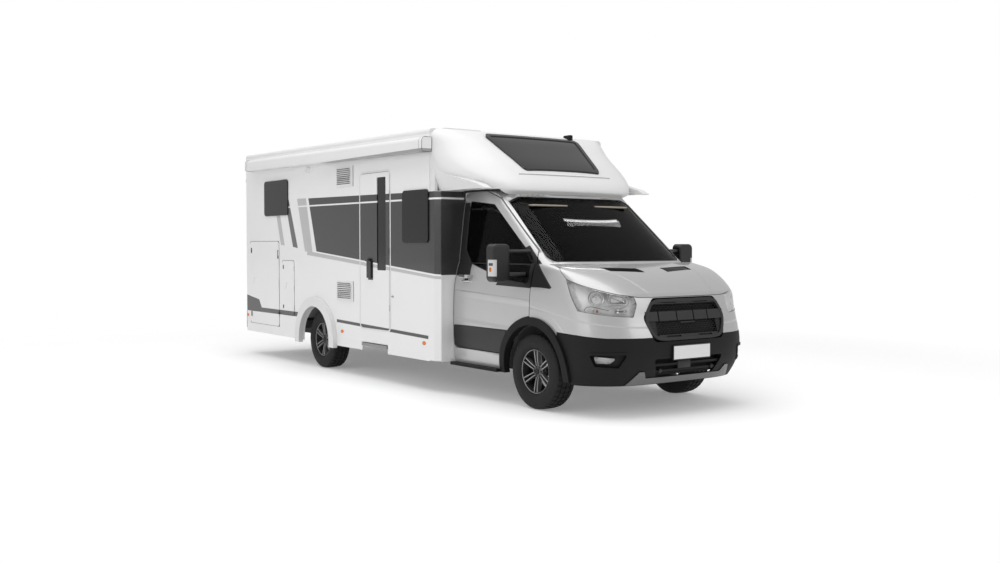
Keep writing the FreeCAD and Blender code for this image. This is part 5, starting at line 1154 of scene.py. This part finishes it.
edit_all("EDGE")
bpy.ops.mesh.select_all(action="DESELECT")
leave_edit()
for edge in mesh_panel.data.edges:
    first, second = (cell_of(mesh_panel.data.vertices[k]) for k in edge.vertices)
    upright = first[0] == second[0] and 0 < first[0] < mesh_columns
    edge.select = upright and (first[0] + min(first[1], second[1])) % 2 == 0
bpy.ops.object.mode_set(mode="EDIT")
bpy.ops.mesh.dissolve_edges(use_verts=False)
leave_edit()
for vertex in mesh_panel.data.vertices:
    vertex.co.z += step_up * (corner_shift if sum(cell_of(vertex)) % 2 else -corner_shift)
kept(laid_on(mesh_panel, mesh_stand), in_mesh)
with_modifier(mesh_panel, "WIREFRAME", thickness=mesh_wire, use_even_offset=False)
radiator = front_patch((-cooler_half, cooler_half), (cooler_low, cooler_high), 12, 30)
for vertex in laid_on(radiator, cooler_stand).data.vertices:
    vertex.co.x -= cooler_fold * (round((vertex.co.z - cooler_low) / cooler_pitch) % 2)

grille_plastic = finish("grille_plastic", 30, 0.50, 700.0, 0.00018, change=0.12)
radiator_black = finish("radiator_black", 8, 0.8, 400.0, 0.0002, change=0.3)
handed_over(grille_work, "grille_frame_and_bar", grille_plastic, "coach")
handed_over(mesh_panel, "grille_mesh", grille_plastic, "coach", smooth=20)
handed_over(radiator, "grille_backing", radiator_black, "coach")
dress(grille_plastic, "grille")
for piece in (grille_work, mesh_panel):
    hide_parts("grille")

# Lower intake: the cooler shows dark behind the bumper's bars, with two round sensors on
# the lower bar and a blank cover in the middle.
intake_half, intake_low, intake_high = 0.40, 0.365, 0.545
intake_front, intake_curve, intake_fold, intake_pitch = 3.580, 0.10, 0.005, 0.0086
sensor_side, sensor_height, sensor_front, sensor_fall = 0.325, 0.406, 3.622, 0.03
cover_size, cover_place, cover_edge = (0.012, 0.16, 0.070), (3.622, -0.045, 0.452), 0.006
SENSOR_SECTION = [(0, 0.004), (0.009, 0.004), (0.011, 0.001), (0.017, 0.0), (0.019, -0.004), (0.019, -0.022),
                  (0, -0.022)]
cooler = front_patch((-intake_half, intake_half), (intake_low, intake_high), 14, 22)
for vertex in cooler.data.vertices:
    folded = intake_fold * (round(vertex.co.z / intake_pitch) % 2)
    vertex.co.x = intake_front - intake_curve * abs(vertex.co.y) ** 2 - folded
handed_over(cooler, "intake_cooler", radiator_black, "coach")
sensors = [aimed(turned(SENSOR_SECTION, "Z", 28),
                 (sensor_front - sensor_fall * abs(side), side, sensor_height), (1, 0, -0.05))
           for side in (-sensor_side, sensor_side)]
handed_over(joined_into(*sensors), "park_sensors", grille_plastic, "coach")
cover_plate = rounded_edges(sized("cube", cover_size, size=1, location=cover_place), cover_edge, 3)
handed_over(cover_plate, "intake_centre_cover", grille_plastic, "coach")

# Number plate: a frame of black plastic, clipped to the bumper, holds the blank white plate
# by its edges.
plate_low, plate_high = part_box("number_plate")
plate_edge, plate_corner, plate_set_back = 0.009, 0.010, 0.007
holder_wall, holder_edge = 0.012, 0.0015
plate_size = plate_high - plate_low
holder = start("plane", size=1, rotation=(0, math.pi / 2, 0),
               location=(plate_high.x - plate_set_back, 0, (plate_low.z + plate_high.z) / 2))
holder.scale = (plate_size.z + plate_edge * 2, plate_size.y + plate_edge * 2, 1)
settled(holder)
edit_all()
bpy.ops.mesh.bevel(offset=plate_corner, segments=4, affect="VERTICES")
bpy.ops.mesh.select_mode(type="FACE")
bpy.ops.mesh.select_all(action="SELECT")
bpy.ops.mesh.inset(thickness=plate_edge)
bpy.ops.mesh.delete(type="FACE")
leave_edit()
with_modifier(holder, "SOLIDIFY", thickness=holder_wall, offset=0.0)
with_modifier(holder, "BEVEL", width=holder_edge, segments=2, limit_method="ANGLE")
handed_over(holder, "plate_holder", grille_plastic, "coach")

# Bonnet vents: black moulded louvres, which fill the two pockets by the screen and lean
# back with the bonnet's slope.
louvre_rows, louvre_width, louvre_wall, louvre_edge = 6, 0.013, 0.0022, 0.0008
louvre_lean, louvre_sink, louvre_gap = math.radians(-16), 0.0045, 0.02
row_offset, spare_rows = 0.7, 0.4
vents_ahead, vents_height, bonnet_fall, bonnet_curve = 3.10, 1.294, 0.22, 0.6


def bonnet_level(ahead):
    """The bonnet's height along the vehicle, near the vents."""
    return vents_height - bonnet_fall * (ahead - vents_ahead) - bonnet_curve * (ahead - vents_ahead) ** 2


def pocket_spot(ends, share, sign):
    """A spot part of the way along one end of a pocket, on one side."""
    rear, front = (Vector((x, sign * y, 0)) for x, y in ends)
    return rear.lerp(front, share)


louvres = []
for sign in (-1, 1):
    for row in range(louvre_rows):
        share = (row + row_offset) / (louvre_rows + spare_rows)
        outer, inner = (pocket_spot(ends, share, sign) for ends in (POCKET_OUTER, POCKET_INNER))
        middle, run = (outer + inner) / 2, inner - outer
        slat = start("cube", size=1)
        slat.scale = (louvre_width, run.length - louvre_gap, louvre_wall)
        slat.rotation_euler = (0, louvre_lean, math.atan2(run.y, run.x) - math.pi / 2)
        slat.location = (middle.x, middle.y, bonnet_level(middle.x) - louvre_sink)
        louvres.append(rounded_edges(settled(slat), louvre_edge))
handed_over(joined_into(*louvres), "bonnet_louvres", grille_plastic, "bonnet")

# Cab sides: a black sail panel fills the corner ahead of the door's window, grained
# cladding covers the door's foot, and each door has a silver pull handle over a dark cup,
# which is painted shade for the recess under the handle.
DOOR_CLADDING = [(1.372, 0.700), (1.372, 0.440), (2.400, 0.440), (2.400, 0.708), (1.400, 0.708)]
WING_SAIL = [(2.500, 1.122), (2.905, 1.122), (2.905, 1.128), (2.500, 1.470)]
SHELL_SAIL = [(2.300, 1.560), (2.300, 1.122), (2.905, 1.122), (2.905, 1.128), (2.440, 1.520)]
wheel_arch_radius = 0.475
arch_turns = [turn * math.pi / 6 for turn in range(12)]
WHEEL_ARCH = [(front_hub_x + wheel_arch_radius * math.cos(turn),
               front_hub_z + wheel_arch_radius * math.sin(turn)) for turn in arch_turns]
handle_from, handle_middle, handle_to, handle_height = 1.484, 1.552, 1.618, 1.148
handle_end, handle_stand, handle_root, handle_thick = 0.014, 0.024, 0.004, 0.0105
cup_halves, lock_halves, lock_ahead = (0.040, 0.006, 0.031), (0.011, 0.004, 0.011), 1.638


def met(node_name, origin, direction):
    """Where a ray first meets a CAD node, or None."""
    target = nodes[node_name]
    back = target.matrix_world.inverted()
    way = (back.to_3x3() @ Vector(direction)).normalized()
    found, place, normal, index = target.ray_cast(back @ Vector(origin), way)
    return target.matrix_world @ place if found else None


def rounded_box(low, high, edge, segments=3):
    """A box between two corners with its edges rounded."""
    piece = start("cube", size=1, location=(Vector(low) + Vector(high)) / 2)
    piece.scale = [b - a for a, b in zip(low, high)]
    return with_modifier(settled(piece), "BEVEL", width=edge, segments=segments, limit_method="NONE")


def dome(centre, halves, segments=28):
    """A smooth oval button."""
    piece = start("uv_sphere", segments=segments, ring_count=segments // 2, radius=1, location=centre)
    piece.scale = halves
    return settled(piece)


masked_black(silver_door, "X", "Z", DOOR_CLADDING)
masked_black(wing_paint, "X", "Z", WING_SAIL)
masked_black(silver, "X", "Z", SHELL_SAIL)
masked_black(silver, "X", "Z", WHEEL_ARCH)
silver_trim = finish("silver_trim", 196, 0.26, 900.0, 0.00004, metallic=0.75, coat=0.4, change=0.06)
door_skin = met("cab_door_right", (1.55, -2.0, handle_height), (0, 1, 0)).y
handle_line = [(handle_from, door_skin + handle_root),
               (handle_from + handle_end, door_skin - handle_stand * 0.8),
               (handle_middle, door_skin - handle_stand),
               (handle_to - handle_end, door_skin - handle_stand * 0.8), (handle_to, door_skin + handle_root)]
# The dark cup is painted shade: the recess behind the grip.
cup = dome((handle_middle, door_skin + handle_root, handle_height), cup_halves)
grip = tube_through([(x, y, handle_height) for x, y in handle_line], handle_thick, 4)
keyhole = dome((lock_ahead, door_skin, handle_height), lock_halves)
both_sides(cup, "handle_cup_shade", dark_line, "cab_door_right")
both_sides(grip, "door_grip", silver_trim, "cab_door_right")
both_sides(keyhole, "door_lock", silver_trim, "cab_door_right")

# Mirrors: grained black shells on two arms. The outer end carries a clear repeater lens
# over a bright bowl with an amber bulb, and the rear face is mirror glass.
REPEATER_LENS = [(2.374, 1.372), (2.374, 1.222), (2.462, 1.222), (2.462, 1.372)]
REPEATER_SLOT = [(2.386, 1.342), (2.386, 1.318), (2.446, 1.318), (2.446, 1.342)]
REPEATER_BULB = [(2.398, 1.302), (2.390, 1.286), (2.398, 1.262), (2.424, 1.262), (2.432, 1.286),
                 (2.424, 1.302)]
repeater_beyond = 1.262
mirror_back, mirror_front, mirror_edge = 2.3485, 2.3515, 0.0012
mirror_outer, mirror_inner = -1.272, -1.118
MIRROR_HEIGHTS = ((1.205, 1.298), (1.306, 1.486))


def painted(material, shade, corners, beyond, roughness):
    """Paints a convex outline in side view another colour, only beyond a distance out."""
    tree, shading = shading_of(material)
    axes = own_axes(tree)
    far_out = sum_of(tree, "GREATER_THAN", plain_size(tree, axes["Y"]), beyond)
    mask = times(tree, inside_outline(tree, axes["X"], axes["Z"], corners), far_out)
    laid_over(material, mask, shade)
    rough = shading["Roughness"].links[0].from_socket
    smoother = sum_of(tree, "MULTIPLY_ADD", mask, less(tree, roughness, rough), rough)
    tree.links.new(smoother, shading["Roughness"])
    return material


mirror_shell = finish("mirror_shell", 20, 0.46, 900.0, 0.00018, coat=0.1, change=0.12)
painted(mirror_shell, 205, REPEATER_LENS, repeater_beyond, 0.12)
painted(mirror_shell, 70, REPEATER_SLOT, repeater_beyond, 0.2)
painted(mirror_shell, (190, 104, 30), REPEATER_BULB, repeater_beyond, 0.2)
dress(mirror_shell, "mirror_right", "mirror_left")
mirror_glass = finish("mirror_glass", 190, 0.04, 20.0, 0.00002, metallic=1.0, change=0.05)
mirror_panes = [rounded_box((mirror_back, mirror_outer, low), (mirror_front, mirror_inner, high), mirror_edge)
                for low, high in MIRROR_HEIGHTS]
both_sides(joined_into(*mirror_panes), "mirror_glass", mirror_glass, "cab_door_right")

# Flaps and doors of the living body: black seals line their gaps, a white frame stands
# round the entrance, and small black catches hold the flaps.
body_skin = -1.1600
seal_radius, hatch_seal_radius, hatch_line_radius = 0.0030, 0.0016, 0.0010
# Each outline: its rear and front x, its low and high z, and the radius of its corners.
ENTRANCE_GAP = (-0.311, 0.346, 0.581, 2.303, 0.055)
ENTRANCE_FRAME, ENTRANCE_EDGE = (-0.334, 0.369, 0.558, 2.326, 0.070), (-0.307, 0.342, 0.585, 2.299, 0.052)
GARAGE_GAP = (-3.492, -2.538, 0.440, 1.557, 0.025)
HATCH_GAP, HATCH_LINE = (-2.437, -2.076, 0.607, 1.309, 0.020), (-2.415, -2.100, 0.632, 1.284, 0.016)
HANDLE_PLATE = [(-0.130, 1.370), (-0.130, 1.120), (-0.020, 1.120), (-0.020, 1.370)]
handle_plate_beyond = 1.163
frame_band, edge_band = (0.019, 0.003), (0.017, 0.002)
# Each catch: its rear and front x, its low and high z, and the flap that carries it.
CATCHES = [(-3.452, -3.434, 1.400, 1.470, "garage_door_right"),
           (-3.452, -3.434, 0.530, 0.600, "garage_door_right"),
           (-2.572, -2.556, 1.330, 1.440, "garage_door_right"),
           (-2.402, -2.390, 1.200, 1.250, "service_hatch_right"),
           (-2.402, -2.390, 0.690, 0.735, "service_hatch_right")]
HOOK_LINE = [(0.385, -0.002, 0.950), (0.385, 0.020, 0.950), (0.425, 0.022, 0.950), (0.425, 0.012, 0.938)]


def outline_plate(low_x, high_x, low_z, high_z, corner, stand):
    """An upright plate with rounded corners, facing right, in edit mode with its face selected."""
    piece = start("plane", size=1, rotation=(math.pi / 2, 0, 0),
                  location=((low_x + high_x) / 2, body_skin - stand, (low_z + high_z) / 2))
    piece.scale = (high_x - low_x, high_z - low_z, 1)
    settled(piece)
    edit_all()
    bpy.ops.mesh.bevel(offset=corner, segments=6, affect="VERTICES", clamp_overlap=True)
    bpy.ops.mesh.select_mode(type="FACE")
    bpy.ops.mesh.select_all(action="SELECT")
    return piece


def bead_round(outline, radius):
    """A seal bead round a rounded outline on the body's right side."""
    piece = outline_plate(*outline, 0.0)
    bpy.ops.mesh.delete(type="ONLY_FACE")
    leave_edit()
    return as_tube(piece, radius)


def band_round(outline, width, wall):
    """A flat frame of one width round a rounded outline, standing proud of the body's side."""
    piece = outline_plate(*outline, wall)
    bpy.ops.mesh.inset(thickness=width)
    bpy.ops.mesh.delete(type="FACE")
    leave_edit()
    with_modifier(piece, "SOLIDIFY", thickness=wall * 2, offset=-1.0)
    return with_modifier(piece, "BEVEL", width=wall * 0.35, segments=2, limit_method="ANGLE")


frame_white = finish("frame_white", 224, 0.4, 240.0, 0.0001, coat=0.2, change=0.02)
grey_line = finish("grey_line", 128, 0.6, 300.0, 0.0001)
dress(painted(wall_sheet("entrance_enamel"), 12, HANDLE_PLATE, handle_plate_beyond, 0.45), "entrance_door")
entrance_seal, garage_seal = bead_round(ENTRANCE_GAP, seal_radius), bead_round(GARAGE_GAP, seal_radius)
hatch_seal, hatch_line = bead_round(HATCH_GAP, hatch_seal_radius), bead_round(HATCH_LINE, hatch_line_radius)
handed_over(entrance_seal, "entrance_seal", dark_line, "coach")
both_sides(garage_seal, "garage_seal", dark_line, "coach")
both_sides(hatch_seal, "hatch_seal", dark_line, "coach")
handed_over(hatch_line, "hatch_inner_line", grey_line, "service_hatch_right")
entrance_frame = band_round(ENTRANCE_FRAME, *frame_band)
entrance_edge = band_round(ENTRANCE_EDGE, *edge_band)
entrance_grip = rounded_box((-0.124, body_skin - 0.022, 1.150), (-0.064, body_skin + 0.004, 1.356), 0.009, 4)
entrance_lock = dome((-0.094, body_skin - 0.0205, 1.172), (0.010, 0.003, 0.010))
handed_over(entrance_frame, "entrance_frame", frame_white, "coach")
handed_over(entrance_edge, "entrance_door_edge", frame_white, "entrance_door")
handed_over(entrance_grip, "entrance_grip", black_grain, "entrance_door")
handed_over(entrance_lock, "entrance_lock", silver_trim, "entrance_door")
for index, (low_x, high_x, low_z, high_z, flap) in enumerate(CATCHES):
    catch = rounded_box((low_x, body_skin - 0.012, low_z), (high_x, body_skin + 0.002, high_z), 0.004)
    both_sides(catch, f"catch_{index}", black_grain, flap)
hook = tube_through([(x, body_skin - out, z) for x, out, z in HOOK_LINE], 0.0035)
hook = joined_into(hook, dome((0.405, body_skin, 0.950), (0.030, 0.005, 0.014)))
handed_over(hook, "entrance_door_hook", silver_trim, "coach")

# Lamps of the living body: an oval awning lamp with a chrome ring, amber side markers under
# small domes, a tall red marker at each upper rear corner, and the rear clusters.
oval_place = (-1.659, body_skin, 2.435)
ring_halves, lens_halves = (0.066, 0.060, 0.036), (0.064, 0.010, 0.034)
MARKERS = ((1.045, 0.498), (-0.769, 0.498), (-3.592, 0.540))
marker_side, marker_halves = 1.162, (0.034, 0.011, 0.020)
high_side, high_halves, high_place = 1.140, (0.022, 0.018, 0.058), (-3.634, 2.400)
oval_ring = start("torus", major_radius=1, minor_radius=0.10, major_segments=48, minor_segments=12,
                  rotation=(math.pi / 2, 0, 0))
bpy.ops.object.transform_apply(location=False, rotation=True, scale=False)
oval_ring.scale = ring_halves
oval_ring.location = oval_place
handed_over(oval_ring, "awning_lamp_ring", chrome, "coach")
oval_lens = dome(oval_place, lens_halves, 40)
handed_over(oval_lens, "awning_lamp_lens", frame_white, "coach")
marker_domes = [dome((x, side, z), marker_halves) for side in (-marker_side, marker_side) for x, z in MARKERS]
amber_marker = finish("amber_marker", (222, 112, 34), 0.2, 500.0, 0.0003, coat=0.5, change=0.12)
markers = handed_over(joined_into(*marker_domes), "side_markers", amber_marker, "coach")
clusters = kept(worked_copy("tail_and_marker_lamps", "rear_clusters"), lambda centre, normal: centre.x < -3)
with_modifier(clusters, "BEVEL", width=0.006, segments=3, limit_method="ANGLE")
handed_over(clusters, "rear_clusters", lamp_red, "coach")
for piece in (markers, clusters):
    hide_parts("tail_and_marker_lamps")
marker_red = finish("marker_red", (196, 132, 122), 0.2, 500.0, 0.0003, coat=0.5)
high_markers = [dome((high_place[0], side, high_place[1]), high_halves) for side in (-high_side, high_side)]
handed_over(joined_into(*high_markers), "high_rear_markers", marker_red, "coach")

# Fridge vents: two flush covers with nine slots each, a hood over every slot, and an upright
# seam beside the slots. Each slot is a dark strip of painted shade under its hood.
vent_feet, slot_rows, slot_pitch, slot_start, slot_edge = (0.862, 2.187), 9, 0.0215, 0.026, 0.0012
slots, hoods = [], []
for foot in vent_feet:
    for row in range(slot_rows):
        up = foot + slot_start + row * slot_pitch
        slots.append(rounded_box((-0.868, -1.1732, up), (-0.545, -1.1650, up + 0.0085), slot_edge, 2))
        hoods.append(rounded_box((-0.870, -1.1765, up + 0.0080), (-0.540, -1.1700, up + 0.0110),
                                 slot_edge, 2))
    slots.append(rounded_box((-0.4835, -1.1640, foot - 0.006), (-0.4795, -1.1600, foot + 0.231),
                             slot_edge, 2))
slot_shade_and_seam = finish("slot_shade_and_seam", 70, 0.7, 300.0, 0.0001)
handed_over(joined_into(*slots), "vent_slots", slot_shade_and_seam, "coach")
handed_over(joined_into(*hoods), "vent_hoods", vent_plastic, "coach")

# Awning: a long enamelled case, grey along its foot where painted shade stands for its
# underside, and a moulded cap at each end, which meets the case at a fine seam.
underside_shade_top, underside_shade_fade, underside_shade_tone = 2.482, 0.002, 150
AWNING_ENDS = ((1.195, 1.140), (-3.365, -3.310))
end_line_radius = 0.0022
case_enamel = finish("awning_enamel", 232, 0.35, 160.0, 0.0002, coat=0.3, change=0.02)
# Painted shade: the case turns grey below a level near its foot, for its shaded underside.
tree = case_enamel.node_tree
laid_over(case_enamel, soft_drop(tree, own_axes(tree)["Z"], underside_shade_top, underside_shade_top + underside_shade_fade), underside_shade_tone)
dress(case_enamel, "awning_case")
for index, (end_x, seam_x) in enumerate(AWNING_ENDS):
    end_face = kept(worked_copy("awning_case", f"awning_end_{index}"),
                    lambda centre, normal: abs(centre.x - end_x) < 0.004 and abs(normal.x) > 0.9)
    line = rim_of(end_face, end_line_radius)
    seam = copied(line, f"awning_seam_{index}")
    seam.location.x = seam_x - end_x
    bpy.data.objects.remove(end_face)
    handed_over(seam, f"awning_seam_{index}", grey_line, "coach")
    handed_over(line, f"awning_end_line_{index}", dark_line, "coach")

# Roof cap: a bright strip seals the foot of the roof window, a black aerial stands on top,
# and a screw cap closes each lower rear corner.
strip_half, strip_steps, strip_level, strip_radius = 0.60, 14, 2.2090, 0.0065
filler_side, cap_side = 1.132, 1.046
strip_line = []
for step in range(strip_steps + 1):
    side = -strip_half + strip_half * 2 * step / strip_steps
    places = [met(name, (3.0, side, strip_level + 0.001), (-1, 0, 0)) for name in ("roof_window", "roof_cap")]
    strip_line.append((max(place.x for place in places if place) + 0.003, side, strip_level))
roof_strip = tube_through(strip_line, strip_radius, 3, 1)
handed_over(roof_strip, "roof_window_strip", silver_trim, "coach")
aerial = rounded_box((1.175, 0.575, 2.660), (1.295, 0.625, 2.722), 0.014, 4)
handed_over(aerial, "roof_aerial", black_grain, "coach")
fillers = [rounded_box((1.146, side - 0.020, 2.040), (1.236, side + 0.020, 2.270), 0.006)
           for side in (-filler_side, filler_side)]
handed_over(joined_into(*fillers), "cap_corner_fillers", gelcoat, "coach")
screw_caps = [dome((1.245, side, 2.127), (0.016, 0.006, 0.016)) for side in (-cap_side, cap_side)]
handed_over(joined_into(*screw_caps), "cap_screw_covers", grey_line, "coach")

# Cab fittings behind the screen: two folded sun visors of padded cloth under the header,
# and on the dashboard the instruments' hood and the middle stack.
visor_side, visor_half = 0.40, 0.22
visor_cloth = finish("visor_cloth", (168, 158, 144), 0.8, 500.0, 0.0004)
visors = [rounded_box((2.02, side - visor_half, 1.885), (2.17, side + visor_half, 1.903), 0.008)
          for side in (-visor_side, visor_side)]
handed_over(joined_into(*visors), "sun_visors", visor_cloth, "coach")
hood = rounded_box((2.39, 0.24, 1.165), (2.56, 0.62, 1.235), 0.030, 4)
middle_stack = rounded_box((2.36, -0.16, 0.98), (2.44, 0.16, 1.20), 0.020, 4)
handed_over(joined_into(hood, middle_stack), "dashboard_hoods", dash_plastic, "coach")
